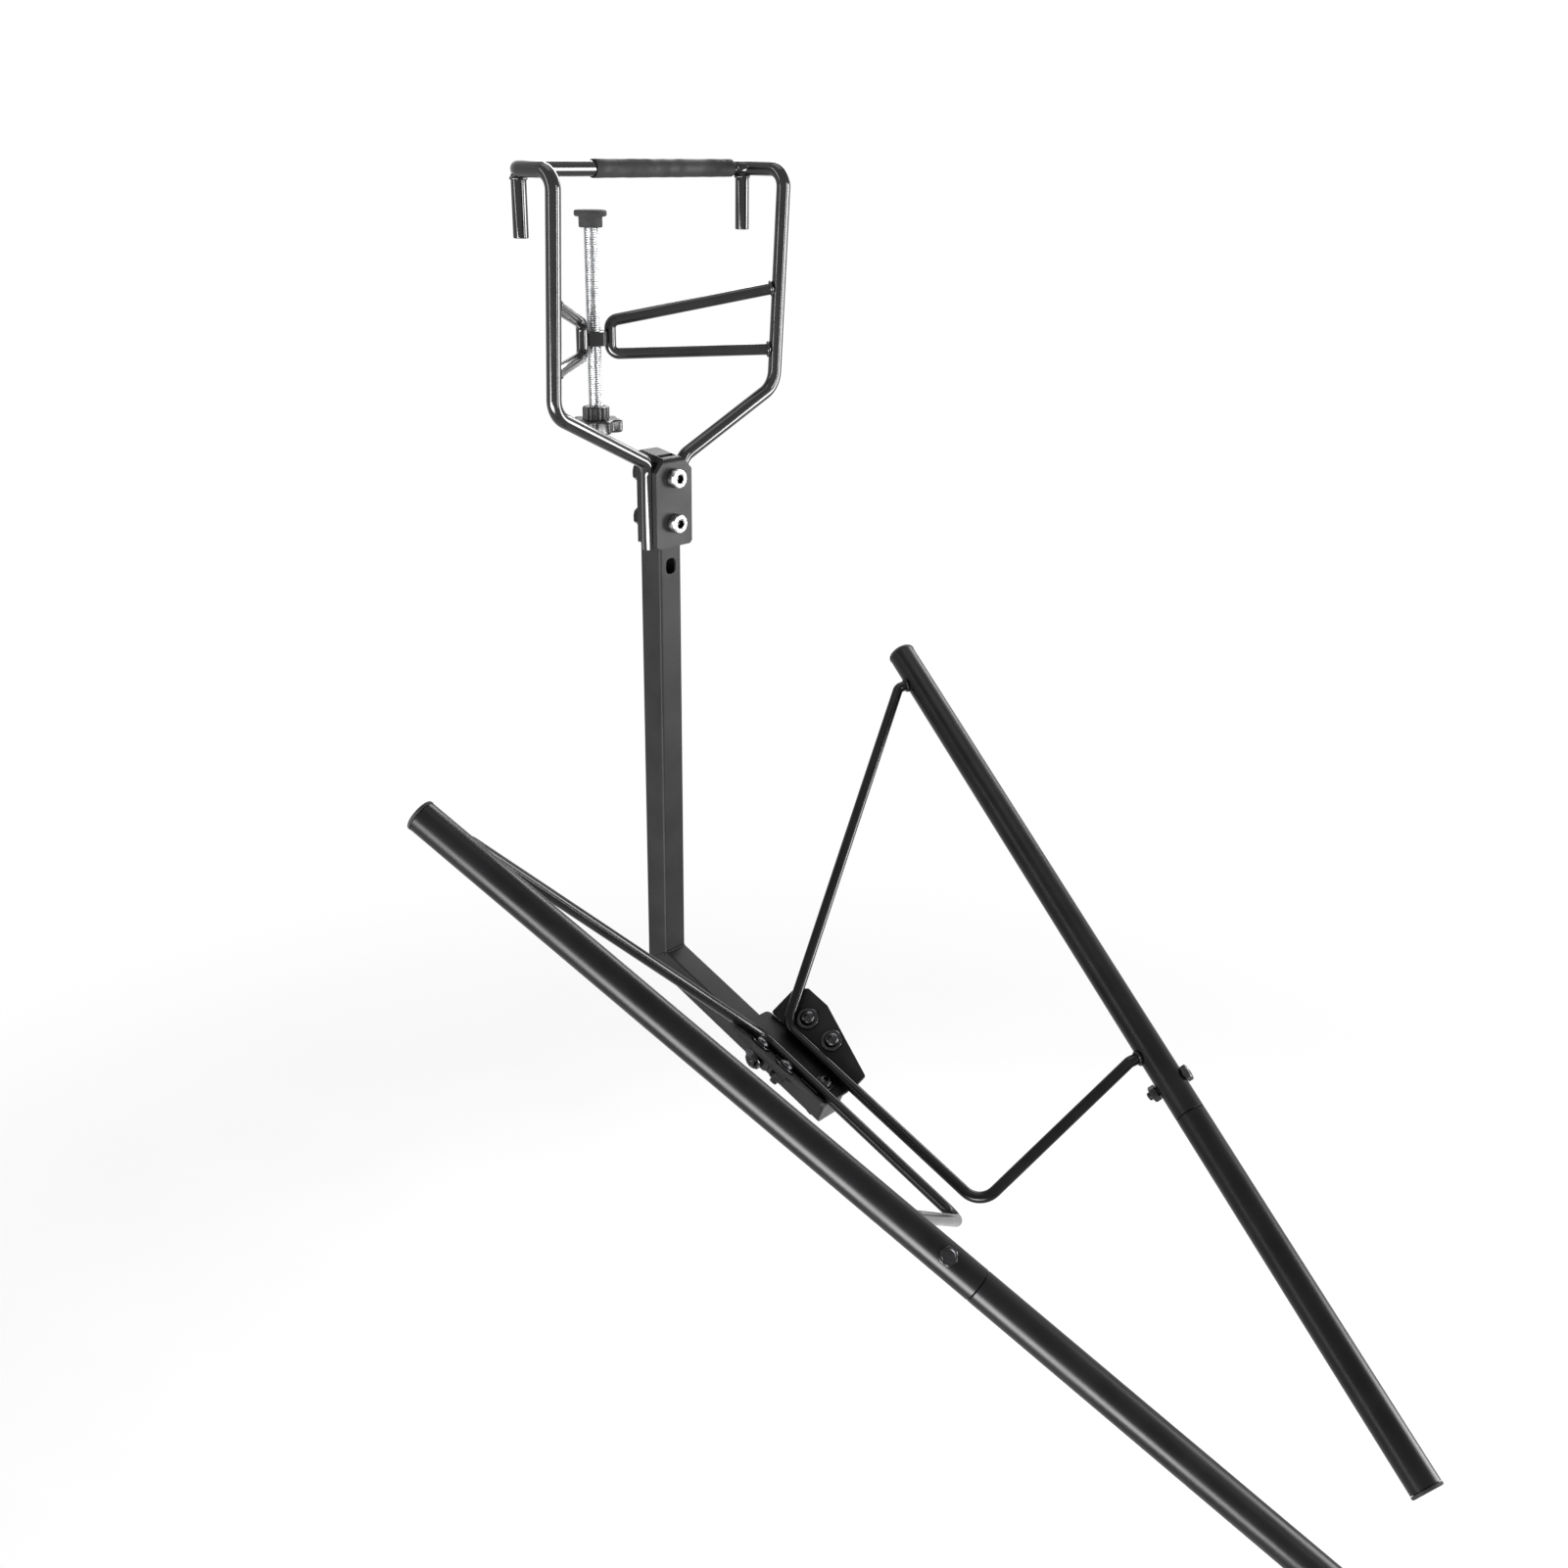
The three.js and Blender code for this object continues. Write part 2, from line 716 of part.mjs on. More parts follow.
// Rails: each has its own frame, +Z from the top end down the tube and +X out and up
function railPoint(side, along) {
  const top = new THREE.Vector3(side * railTopSpread, -railTopForward, -railTopDrop);
  const bottom = new THREE.Vector3(side * railBottomSpread, -railBottomForward, -railBottomDrop);
  const direction = bottom.sub(top).normalize();
  return { point: top.addScaledVector(direction, along), direction };
}

function railLength() {
  const spread = railTopSpread - railBottomSpread;
  const forward = railBottomForward - railTopForward;
  return Math.hypot(spread, forward, railBottomDrop - railTopDrop);
}

// The direction square to a rail that points outwards, turned up from level by an angle
function railSide(side, angle) {
  const { direction } = railPoint(side, 0);
  const level = new THREE.Vector3(-direction.y, direction.x, 0).normalize().multiplyScalar(side);
  const rise = up.clone().addScaledVector(direction, -up.dot(direction)).normalize();
  return level.multiplyScalar(Math.cos(angle)).addScaledVector(rise, Math.sin(angle));
}

function railFrame(side) {
  const frame = new THREE.Group();
  const { point, direction } = railPoint(side, 0);
  const out = railSide(side, railBoltTilt);
  const third = direction.clone().cross(out);
  frame.quaternion.setFromRotationMatrix(new THREE.Matrix4().makeBasis(out, third, direction));
  frame.position.copy(point);
  return frame;
}

const railBolt = upperRailLength - railBoltBack;
const railBore = railRadius - railWall;
const spigotRadius = railBore - seat;
const spigotBore = spigotRadius - railWall;

function railHole() {
  const radius = smallShank / 2 + boreSlip;
  return bar(radius, -railDiameter, railDiameter).rotateY(Math.PI / 2).translate(0, 0, railBolt);
}

function upperRail() {
  return cut(pipe(railRadius, railBore, 0, upperRailLength), railHole());
}

// The lower tube is drawn down to a spigot that slides into the upper tube
function lowerRail() {
  const start = upperRailLength + seat;
  const end = railLength();
  const tip = start - spigotLength;
  const profile = [
    [spigotBore, tip], [spigotRadius, tip], [spigotRadius, start], [railRadius, start],
    [railRadius, end], [railBore, end], [railBore, start + 2 * spigotShoulder],
    [spigotBore, start + spigotShoulder], [spigotBore, tip],
  ];
  return cut(turned(profile, tubeSides), railHole());
}

// A cap's stem is a push fit in the tube, and its flange covers the tube's end
function railCap(atTop) {
  const flange = railRadius + capRim;
  const stem = railBore - seat;
  const bore = stem - railWall;
  const cap = turned(
    [
      [0, capFlange], [flange - capBevel, capFlange], [flange, capFlange - capBevel], [flange, 0],
      [stem, 0], [stem, -capDepth], [bore, -capDepth], [bore, 0], [0, 0],
    ].toReversed(),
    tubeSides,
  );
  if (atTop) return cap.rotateX(Math.PI).translate(0, 0, -seat);
  return cap.translate(0, 0, railLength() + seat);
}

function railBoltPiece() {
  const length = 2 * (railRadius + seat) + smallNutHeight + threadEnd;
  const bolt = hexBolt(smallShank / 2, length, smallHeadAcross, smallHeadHeight);
  return bolt.rotateY(Math.PI / 2).translate(railRadius + seat, 0, railBolt);
}

function railNutPiece() {
  const nut = hexNut(smallHeadAcross, smallNutHeight, smallShank / 2);
  return nut.rotateY(-Math.PI / 2).translate(-railRadius - seat, 0, railBolt);
}

// Side wires: from under the rail's top, down to the arm, along it, and out to the rail again
const saddleTop = seat + saddlePlate;

function fromArm(x, along, height) {
  const place = new THREE.Vector3(x, -along, height);
  return place.applyEuler(armFrame.rotation).add(armFrame.position);
}

function toArm(place) {
  const turn = new THREE.Quaternion().setFromEuler(armFrame.rotation).invert();
  return place.clone().sub(armFrame.position).applyQuaternion(turn);
}

// Where a wire's end meets the rail, and the bend just short of it
function wireEnd(side, along) {
  const { point } = railPoint(side, along);
  const inward = railSide(side, wireMeet).multiplyScalar(-1);
  const tip = point.clone().addScaledVector(inward, railRadius + seat);
  const bend = point.clone().addScaledVector(inward, railRadius + seat + wireHook);
  return { tip, bend };
}

// The plates lie at the slope of the wires' upper runs, so the wires lie flat on them
const plateTop = seat + chutePlate; // above the saddle's flange
const wireLift = plateTop + seat + wireRadius;

function wireLowPoint(angle) {
  return {
    x: saddleHalfWidth - wireLift * Math.sin(angle),
    height: saddleTop + wireLift * Math.cos(angle),
  };
}

function flangeSlope() {
  const upper = toArm(wireEnd(1, wireTopAlong).bend);
  let angle = Math.PI / 5;
  for (let k = 0; k < 20; k++) {
    const low = wireLowPoint(angle);
    angle = Math.atan2(upper.z - low.height, upper.x - low.x);
  }
  return angle;
}

const flangeAngle = flangeSlope();

function sideWire(side) {
  const low = wireLowPoint(flangeAngle);
  const head = wireEnd(side, wireTopAlong);
  const foot = wireEnd(side, wireFootAlong);
  const corners = [
    head.tip, head.bend,
    fromArm(side * low.x, wireLowStart, low.height),
    fromArm(side * low.x, wireLowEnd, low.height),
    foot.bend, foot.tip,
  ];
  return bentRod(corners, [hookBend, wireBend, wireBend, hookBend], wireRadius);
}

// Arm bracket: its section is a flat with a flange folded up on each side
function saddleSection() {
  const foldShift = saddlePlate * Math.tan(flangeAngle / 2);
  const out = flangeReach * Math.cos(flangeAngle);
  const rise = flangeReach * Math.sin(flangeAngle);
  const lean = saddlePlate * Math.sin(flangeAngle);
  const tipDrop = saddlePlate * Math.cos(flangeAngle);
  const right = [
    new THREE.Vector2(saddleHalfWidth + foldShift, seat),
    new THREE.Vector2(saddleHalfWidth + out + lean, saddleTop + rise - tipDrop),
    new THREE.Vector2(saddleHalfWidth + out, saddleTop + rise),
    new THREE.Vector2(saddleHalfWidth, saddleTop),
  ];
  const left = right.map((point) => new THREE.Vector2(-point.x, point.y)).toReversed();
  return new THREE.Shape([...right, ...left]);
}

// Turns something drawn flat on a flange, X outwards and Y back up the arm, on to that flange
function onFlange(geometry, side) {
  return geometry.rotateY(-side * flangeAngle).translate(side * saddleHalfWidth, 0, saddleTop);
}

function wingBoltPlace(index) {
  return -wingBoltAlong - index * wingBoltPitch;
}

function wingHole(side, index) {
  const bore = bar(smallShank / 2 + boreSlip, -saddlePlate - overrun, chutePlate + overrun);
  return onFlange(bore.translate(side * wingBoltOut, wingBoltPlace(index), 0), side);
}

function saddleEar(side) {
  const low = -earDrop;
  const outline = roundedShape(boxCorners(-earEnd, -earStart, low, seat + saddlePlate / 2), earRound);
  const corners = boxCorners(-earEnd, -earStart, -halfTube / 2, saddleTop - seat);
  const square = extrude(new THREE.Shape(corners), saddlePlate);
  const ear = join(extrude(outline, saddlePlate), square).rotateX(Math.PI / 2).rotateZ(Math.PI / 2);
  return ear.translate(side > 0 ? halfTube + seat : -halfTube - seat - saddlePlate, 0, 0);
}

function armBracket() {
  const flanged = extrude(saddleSection(), flangeLength).rotateX(Math.PI / 2);
  flanged.translate(0, -flangeStart, 0);
  const flat = extrude(
    roundedShape(boxCorners(-saddleHalfWidth, saddleHalfWidth, -saddleEnd, -saddleStart), saddleRound),
    saddlePlate,
  ).translate(0, 0, seat);
  let bracket = toSolid(flanged).add(toSolid(flat));
  for (const side of [-1, 1]) {
    bracket = bracket.add(toSolid(saddleEar(side)));
    for (let k = 0; k < wingBoltCount; k++) bracket = bracket.subtract(toSolid(wingHole(side, k)));
  }
  const across = halfTube + saddlePlate + overrun;
  const side = bar(crossShank / 2 + boreSlip, -across, across).rotateY(Math.PI / 2);
  side.translate(0, -crossBoltAlong, -crossBoltDrop);
  const down = bar(smallShank / 2 + boreSlip, -overrun, saddleTop + overrun).translate(0, -baseBoltAlong, 0);
  return toGeometry(bracket.subtract(toSolid(side)).subtract(toSolid(down)));
}

function chutePlatePiece(side) {
  const corners = [
    new THREE.Vector2(0, -plateStart),
    new THREE.Vector2(side * (plateReach - plateShoulder), -plateStart),
    new THREE.Vector2(side * plateReach, -plateStart - plateShoulder),
    new THREE.Vector2(side * plateReach, -plateStart - plateShoulder - plateCrown),
    new THREE.Vector2(side * plateTip, -plateEnd),
    new THREE.Vector2(0, -plateEnd),
  ];
  const flat = extrude(roundedShape(corners, plateRound), chutePlate, cornerSteps);
  const plate = onFlange(flat.translate(0, 0, seat), side);
  const holes = [];
  for (let k = 0; k < wingBoltCount; k++) holes.push(wingHole(side, k));
  return cut(plate, ...holes);
}

// Fasteners of the chute plates, heads on the inner face
function atWing(geometry, side, index, height) {
  return onFlange(geometry.translate(side * wingBoltOut, wingBoltPlace(index), height), side);
}

const washerSeat = plateTop + seat;
const wingHeadSeat = washerSeat + washerThickness + seat;
const wingNutSeat = -saddlePlate - seat;

function wingBolt(side, index) {
  const length = wingHeadSeat - wingNutSeat + smallNutHeight + threadEnd;
  return atWing(buttonBolt(smallShank / 2, length), side, index, wingHeadSeat);
}

function wingNut(side, index) {
  const nut = hexNut(smallHeadAcross, smallNutHeight, smallShank / 2).rotateX(Math.PI);
  return atWing(nut, side, index, wingNutSeat);
}

// Fasteners through the arm
const earOuter = halfTube + seat + saddlePlate + seat;

function crossBolt() {
  const length = 2 * earOuter + crossNutHeight + threadEnd;
  const bolt = hexBolt(crossShank / 2, length, crossHeadAcross, crossHeadHeight).rotateY(Math.PI / 2);
  return bolt.translate(earOuter, -crossBoltAlong, -crossBoltDrop);
}

function crossNut() {
  const nut = hexNut(crossHeadAcross, crossNutHeight, crossShank / 2).rotateY(-Math.PI / 2);
  return nut.translate(-earOuter, -crossBoltAlong, -crossBoltDrop);
}

const baseWasherSeat = saddleTop + seat;
const baseHeadSeat = baseWasherSeat + washerThickness + seat;

function baseBolt() {
  const length = baseHeadSeat + tubeSide + seat + smallNutHeight + threadEnd;
  return buttonBolt(smallShank / 2, length).translate(0, -baseBoltAlong, baseHeadSeat);
}

function baseNut() {
  const nut = hexNut(smallHeadAcross, smallNutHeight, smallShank / 2).rotateX(Math.PI);
  return nut.translate(0, -baseBoltAlong, -tubeSide - seat);
}

// Assembly
const sides = { left: -1, right: 1 };

addPiece(model, 'hanger_rod', hangerRod(), 'glossBlack');
addPiece(model, 'rim_sleeve', rimSleeve(), 'rubber');
addPiece(model, 'clamp_nut', clampNut(), 'glossBlack');
addPiece(model, 'clamp_foot', clampFoot(), 'rubber');
addPiece(model, 'clamp_screw', clampScrew(), 'zinc');
addPiece(model, 'star_knob', starKnob(), 'plastic');
addPiece(model, 'post_bracket', postBracket(), 'plateBlack');
addPiece(model, 'post', post(), 'satinBlack');
['upper', 'lower'].forEach((level, index) => {
  addPiece(model, `post_screw_${level}`, postScrew(index), 'zinc');
  addPiece(model, `post_nut_${level}`, domeNut(index), 'blackSteel');
});

model.add(armFrame);
addPiece(armFrame, 'arm', arm(), 'satinBlack');
addPiece(armFrame, 'arm_plug', armPlug(), 'plastic');
addPiece(armFrame, 'arm_bracket', armBracket(), 'plateBlack');
addPiece(armFrame, 'cross_bolt', crossBolt(), 'blackSteel');
addPiece(armFrame, 'cross_nut', crossNut(), 'blackSteel');
addPiece(armFrame, 'base_bolt', baseBolt(), 'blackSteel');
addPiece(armFrame, 'base_nut', baseNut(), 'blackSteel');
const baseWasherPiece = washer(baseWasher, smallShank / 2).translate(0, -baseBoltAlong, baseWasherSeat);
addPiece(armFrame, 'base_washer', baseWasherPiece, 'blackSteel');

for (const [name, side] of Object.entries(sides)) {
  addPiece(model, `stub_${name}`, stub(side), 'glossBlack');
  addPiece(model, `tension_arm_${name}`, tensionArm(side), 'glossBlack');
  addPiece(model, `side_wire_${name}`, sideWire(side), 'glossBlack');
  addPiece(armFrame, `chute_plate_${name}`, chutePlatePiece(side), 'plateBlack');
  for (let k = 0; k < wingBoltCount; k++) {
    const plateWasher = atWing(washer(smallWasher, smallShank / 2), side, k, washerSeat);
    addPiece(armFrame, `plate_bolt_${name}_${k + 1}`, wingBolt(side, k), 'blackSteel');
    addPiece(armFrame, `plate_washer_${name}_${k + 1}`, plateWasher, 'blackSteel');
    addPiece(armFrame, `plate_nut_${name}_${k + 1}`, wingNut(side, k), 'blackSteel');
  }
  const frame = railFrame(side);
  model.add(frame);
  addPiece(frame, `upper_rail_${name}`, upperRail(), 'glossBlack');
  addPiece(frame, `lower_rail_${name}`, lowerRail(), 'glossBlack');
  addPiece(frame, `rail_bolt_${name}`, railBoltPiece(), 'blackSteel');
  addPiece(frame, `rail_nut_${name}`, railNutPiece(), 'blackSteel');
  addPiece(frame, `rail_cap_top_${name}`, railCap(true), 'rubber');
  addPiece(frame, `rail_cap_bottom_${name}`, railCap(false), 'rubber');
}

export default model;
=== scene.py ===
import math

import bmesh
import bpy
from mathutils import Matrix, Vector


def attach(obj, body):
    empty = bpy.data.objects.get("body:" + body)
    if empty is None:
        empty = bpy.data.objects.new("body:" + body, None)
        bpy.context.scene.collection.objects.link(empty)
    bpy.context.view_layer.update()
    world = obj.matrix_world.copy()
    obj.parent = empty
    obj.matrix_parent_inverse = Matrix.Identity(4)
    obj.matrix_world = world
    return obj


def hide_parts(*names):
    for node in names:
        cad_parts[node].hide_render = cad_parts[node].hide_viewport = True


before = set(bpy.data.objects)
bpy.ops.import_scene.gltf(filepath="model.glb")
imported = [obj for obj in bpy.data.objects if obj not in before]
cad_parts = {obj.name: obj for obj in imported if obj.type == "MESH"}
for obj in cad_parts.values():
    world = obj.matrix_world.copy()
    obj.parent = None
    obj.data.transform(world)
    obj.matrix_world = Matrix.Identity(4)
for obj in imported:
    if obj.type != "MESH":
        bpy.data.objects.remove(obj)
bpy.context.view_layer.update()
mm = 0.001
print("stage: frame loaded")


# node trees: a board holds one tree, a wire is one output socket
class Wire:
    def __init__(self, board, socket):
        self.board = board
        self.socket = socket

    def maths(self, operation, *values):
        return self.board.put("ShaderNodeMath", {"operation": operation}, dict(enumerate(values)))

    def __add__(self, other):
        return self.maths("ADD", self, other)

    def __radd__(self, other):
        return self.maths("ADD", other, self)

    def __sub__(self, other):
        return self.maths("SUBTRACT", self, other)

    def __rsub__(self, other):
        return self.maths("SUBTRACT", other, self)

    def __mul__(self, other):
        return self.maths("MULTIPLY", self, other)

    def __rmul__(self, other):
        return self.maths("MULTIPLY", other, self)

    def __truediv__(self, other):
        return self.maths("DIVIDE", self, other)

    def __rtruediv__(self, other):
        return self.maths("DIVIDE", other, self)

    def __pow__(self, other):
        return self.maths("POWER", self, other)

    def __rpow__(self, other):
        return self.maths("POWER", other, self)

    def sine(self):
        return self.maths("SINE", self)

    def cosine(self):
        return self.maths("COSINE", self)

    def fraction(self):
        return self.maths("FRACT", self)

    def absolute(self):
        return self.maths("ABSOLUTE", self)

    def atLeast(self, other):
        return self.maths("MAXIMUM", self, other)

    def atMost(self, other):
        return self.maths("MINIMUM", self, other)

    def spread(self, low, high, toLow=0.0, toHigh=1.0):
        links = {"Value": self, "From Min": low, "From Max": high, "To Min": toLow, "To Max": toHigh}
        return self.board.put("ShaderNodeMapRange", {"interpolation_type": "SMOOTHSTEP"}, links)


class Board:
    def __init__(self, tree):
        self.tree = tree

    def put(self, kind, settings=None, links=None, out=0):
        node = self.tree.nodes.new(kind)
        for key, value in (settings or {}).items():
            setattr(node, key, value)
        for key, value in (links or {}).items():
            socket = node.inputs[key]
            if isinstance(value, Wire):
                self.tree.links.new(value.socket, socket)
            else:
                socket.default_value = value
        return Wire(self, node.outputs[out])

    def other(self, wire, name):
        return Wire(self, wire.socket.node.outputs[name])


# finishes
def newFinish(name, specular):
    material = bpy.data.materials.new(name)
    material.use_nodes = True
    tree = material.node_tree
    tree.nodes.clear()
    board = Board(tree)
    place = board.put("ShaderNodeTexCoord", out=3)
    shader = board.put("ShaderNodeBsdfPrincipled", {}, {"Specular IOR Level": specular})
    tree.links.new(shader.socket, tree.nodes.new("ShaderNodeOutputMaterial").inputs["Surface"])
    return material, board, place, shader.socket.node


def noise(board, place, scale, detail=2.0, roughness=0.55):
    links = {"Vector": place, "Scale": scale, "Detail": detail, "Roughness": roughness}
    return board.put("ShaderNodeTexNoise", {}, links)


def mixTint(board, factor, first, second):
    links = {0: factor, 6: (*first, 1.0), 7: (*second, 1.0)}
    return board.put("ShaderNodeMix", {"data_type": "RGBA"}, links, out=2)


def feed(board, node, name, value):
    board.tree.links.new(value.socket, node.inputs[name])


# noise of each kind of surface: scale and detail in its tone and its sheen, scale and depth of its grain
patterns = {
    "coat": {"tone": (34.0, 4.0), "sheen": (21.0, 4.0), "span": (0.35, 0.7), "grain": (1400.0, 0.00006)},
    "rubber": {"tone": (55.0, 4.0), "sheen": (90.0, 3.0), "span": (0.3, 0.7), "grain": (1900.0, 0.00008)},
    "plastic": {"tone": (60.0, 3.0), "sheen": (130.0, 3.0), "span": (0.3, 0.7)},
    "metal": {"tone": (160.0, 5.0, 0.6), "sheen": (420.0, 4.0), "span": (0.3, 0.7), "metallic": 1.0},
}
toneSpan = (0.3, 0.7)

# each finish: its slot in the record, its pattern unless it is a coat, two near tones and two roughnesses,
# and the strength of its grain where it has one
finishValues = {
    "glossCoat": {"slot": "gloss_coat", "dark": (0.0022, 0.0022, 0.0024),
                  "light": (0.005, 0.005, 0.0055), "rough": (0.11, 0.15), "specular": 0.38},
    "wireCoat": {"slot": "gloss_coat", "dark": (0.0012, 0.0012, 0.0014),
                 "light": (0.0035, 0.0035, 0.0039), "rough": (0.16, 0.22), "specular": 0.14},
    "railCoat": {"slot": "gloss_coat", "dark": (0.001, 0.001, 0.0012),
                 "light": (0.003, 0.003, 0.0034), "rough": (0.3, 0.36), "specular": 0.14},
    "satinCoat": {"slot": "satin_coat", "dark": (0.0065, 0.0065, 0.0068),
                  "light": (0.0095, 0.0095, 0.0098), "rough": (0.44, 0.52), "specular": 0.085, "grain": 0.12},
    "plateCoat": {"slot": "plate_coat", "dark": (0.0075, 0.0075, 0.0078),
                  "light": (0.0115, 0.0115, 0.0119), "rough": (0.36, 0.44), "specular": 0.07, "grain": 0.1},
    "brightZinc": {"slot": "bright_zinc", "pattern": "metal", "dark": (0.32, 0.325, 0.33),
                   "light": (0.46, 0.465, 0.47), "rough": (0.2, 0.3)},
    "threadZinc": {"slot": "bright_zinc", "pattern": "metal", "dark": (0.24, 0.245, 0.25),
                   "light": (0.4, 0.405, 0.41), "rough": (0.26, 0.36)},
    "blackOxide": {"slot": "black_steel", "pattern": "metal", "dark": (0.02, 0.02, 0.021),
                   "light": (0.036, 0.036, 0.038), "rough": (0.2, 0.28)},
    "blackRubber": {"slot": "black_rubber", "pattern": "rubber", "dark": (0.006, 0.006, 0.0065),
                    "light": (0.012, 0.012, 0.0125), "rough": (0.62, 0.84), "specular": 0.22, "grain": 0.25},
    "blackPlastic": {"slot": "black_plastic", "pattern": "plastic", "dark": (0.004, 0.004, 0.0045),
                     "light": (0.008, 0.008, 0.0085), "rough": (0.24, 0.34), "specular": 0.3},
}


def makeFinish(name, values):
    pattern = patterns[values.get("pattern", "coat")]
    material, board, place, node = newFinish(name, values.get("specular", 0.5))
    node.inputs["Metallic"].default_value = pattern.get("metallic", 0.0)
    tone = noise(board, place, *pattern["tone"]).spread(*toneSpan)
    feed(board, node, "Base Color", mixTint(board, tone, values["dark"], values["light"]))
    sheen = noise(board, place, *pattern["sheen"]).spread(*pattern["span"], *values["rough"])
    feed(board, node, "Roughness", sheen)
    if "grain" in values:
        scale, depth = pattern["grain"]
        links = {"Strength": values["grain"], "Distance": depth, "Height": noise(board, place, scale)}
        feed(board, node, "Normal", board.put("ShaderNodeBump", {}, links))
    return material


finishes = {name: makeFinish(name, values) for name, values in finishValues.items()}
print("stage: finishes made")


# general making of pieces
def linkMesh(name, mesh):
    piece = bpy.data.objects.new(name, mesh)
    bpy.context.scene.collection.objects.link(piece)
    return piece


# the angle in degrees from which an edge stays sharp, by the kind of piece
creases = {"copy": 38, "bar": 50, "sleeve": 45, "screw": 30, "turned": 40, "weld": 60, "set": 32}


def smooth(piece, kind):
    mesh = piece.data
    mesh.polygons.foreach_set("use_smooth", [True] * len(mesh.polygons))
    mesh.set_sharp_from_angle(angle=math.radians(creases[kind]))


# gives a piece its finish, its shading and its body, and hides the frame nodes it replaces
def settle(piece, finish, kind, replaced=(), body="frame"):
    piece.data.materials.clear()
    piece.data.materials.append(finishes[finish])
    smooth(piece, kind)
    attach(piece, body)
    if replaced:
        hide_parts(*replaced)


def bake(piece):
    bpy.context.view_layer.update()
    graph = bpy.context.evaluated_depsgraph_get()
    mesh = bpy.data.meshes.new_from_object(piece.evaluated_get(graph))
    piece.modifiers.clear()
    old = piece.data
    piece.data = mesh
    bpy.data.meshes.remove(old)
    return piece


# changes a mesh by a function of its bmesh, and turns its faces outwards
def rework(mesh, change):
    work = bmesh.new()
    work.from_mesh(mesh)
    change(work)
    bmesh.ops.recalc_face_normals(work, faces=work.faces)
    work.to_mesh(mesh)
    work.free()


easing = {"merge": 0.00002, "flatAngle": 1.5, "edgeAngle": 40, "segments": 2, "flatWeight": 50}


# a copy of a frame node with its flats joined and its edges eased
def easedCopy(name, node, width):
    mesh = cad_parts[node].data.copy()
    mesh.name = name
    piece = linkMesh(name, mesh)

    def joinFlats(work):
        flat = math.radians(easing["flatAngle"])
        bmesh.ops.remove_doubles(work, verts=work.verts, dist=easing["merge"])
        bmesh.ops.dissolve_limit(
            work, angle_limit=flat, verts=work.verts, edges=work.edges, use_dissolve_boundaries=False
        )
    rework(mesh, joinFlats)
    ease = piece.modifiers.new("ease", "BEVEL")
    ease.width = width * mm
    ease.segments = easing["segments"]
    ease.limit_method = "ANGLE"
    ease.angle_limit = math.radians(easing["edgeAngle"])
    ease.use_clamp_overlap = True
    smooth(bake(piece), "copy")
    level = piece.modifiers.new("level", "WEIGHTED_NORMAL")
    level.mode = "FACE_AREA"
    level.weight = easing["flatWeight"]
    level.keep_sharp = True
    return bake(piece)


# a turned shape from rows of radius and height in millimetres, either of which may be a function of the
# angle; rows that start away from the axis close to a ring
def turnedMesh(name, rows, steps):
    work = bmesh.new()
    loops = []
    for radius, height in rows:
        if radius == 0:
            loops.append([work.verts.new((0, 0, height * mm))])
            continue
        loop = []
        for k in range(steps):
            angle = 2 * math.pi * k / steps
            reach = (radius(angle) if callable(radius) else radius) * mm
            rise = (height(angle) if callable(height) else height) * mm
            loop.append(work.verts.new((reach * math.cos(angle), reach * math.sin(angle), rise)))
        loops.append(loop)
    pairs = list(zip(loops, loops[1:]))
    if len(loops[0]) > 1:
        pairs.append((loops[-1], loops[0]))
    for low, high in pairs:
        for k in range(steps):
            n = (k + 1) % steps
            if len(low) == 1 and len(high) == 1:
                continue
            if len(low) == 1:
                work.faces.new((low[0], high[n], high[k]))
            elif len(high) == 1:
                work.faces.new((low[k], low[n], high[0]))
            else:
                work.faces.new((low[k], low[n], high[n], high[k]))
    bmesh.ops.recalc_face_normals(work, faces=work.faces)
    mesh = bpy.data.meshes.new(name)
    work.to_mesh(mesh)
    work.free()
    return mesh


# the reach of a hexagon, given its width across the flats
def hexReach(across):
    def reach(angle):
        part = (angle + math.pi / 6) % (math.pi / 3) - math.pi / 6
        return across / 2 / math.cos(part)
    return reach


# joins several meshes, each with its own place, into one
def gather(name, parts):
    work = bmesh.new()
    for mesh, place in parts:
        copy = mesh.copy()
        copy.transform(place)
        work.from_mesh(copy)
        bpy.data.meshes.remove(copy)
    mesh = bpy.data.meshes.new(name)
    work.to_mesh(mesh)
    work.free()
    return linkMesh(name, mesh)


# a place at a point, with its Z along a direction
def along(point, direction):
    turn = Vector(direction).to_track_quat("Z", "Y").to_matrix().to_4x4()
    return Matrix.Translation(Vector(point)) @ turn


def turnedPiece(name, rows, place, steps=72):
    return gather(name, [(turnedMesh(name, rows, steps), place)])


# geometry node trees
def newTree(name, inputs):
    tree = bpy.data.node_groups.new(name, "GeometryNodeTree")
    tree.interface.new_socket("Geometry", in_out="INPUT", socket_type="NodeSocketGeometry")
    for label, kind, value in inputs:
        socket = tree.interface.new_socket(label, in_out="INPUT", socket_type=kind)
        if value is not None:
            socket.default_value = value
    tree.interface.new_socket("Geometry", in_out="OUTPUT", socket_type="NodeSocketGeometry")
    board = Board(tree)
    entry = tree.nodes.new("NodeGroupInput")
    wires = {socket.name: Wire(board, socket) for socket in entry.outputs if socket.name}
    return tree, board, wires


def endTree(board, shape, material):
    real = board.put("GeometryNodeRealizeInstances", {}, {"Geometry": shape})
    dressed = board.put("GeometryNodeSetMaterial", {}, {"Geometry": real, "Material": material})
    board.tree.links.new(dressed.socket, board.tree.nodes.new("NodeGroupOutput").inputs[0])


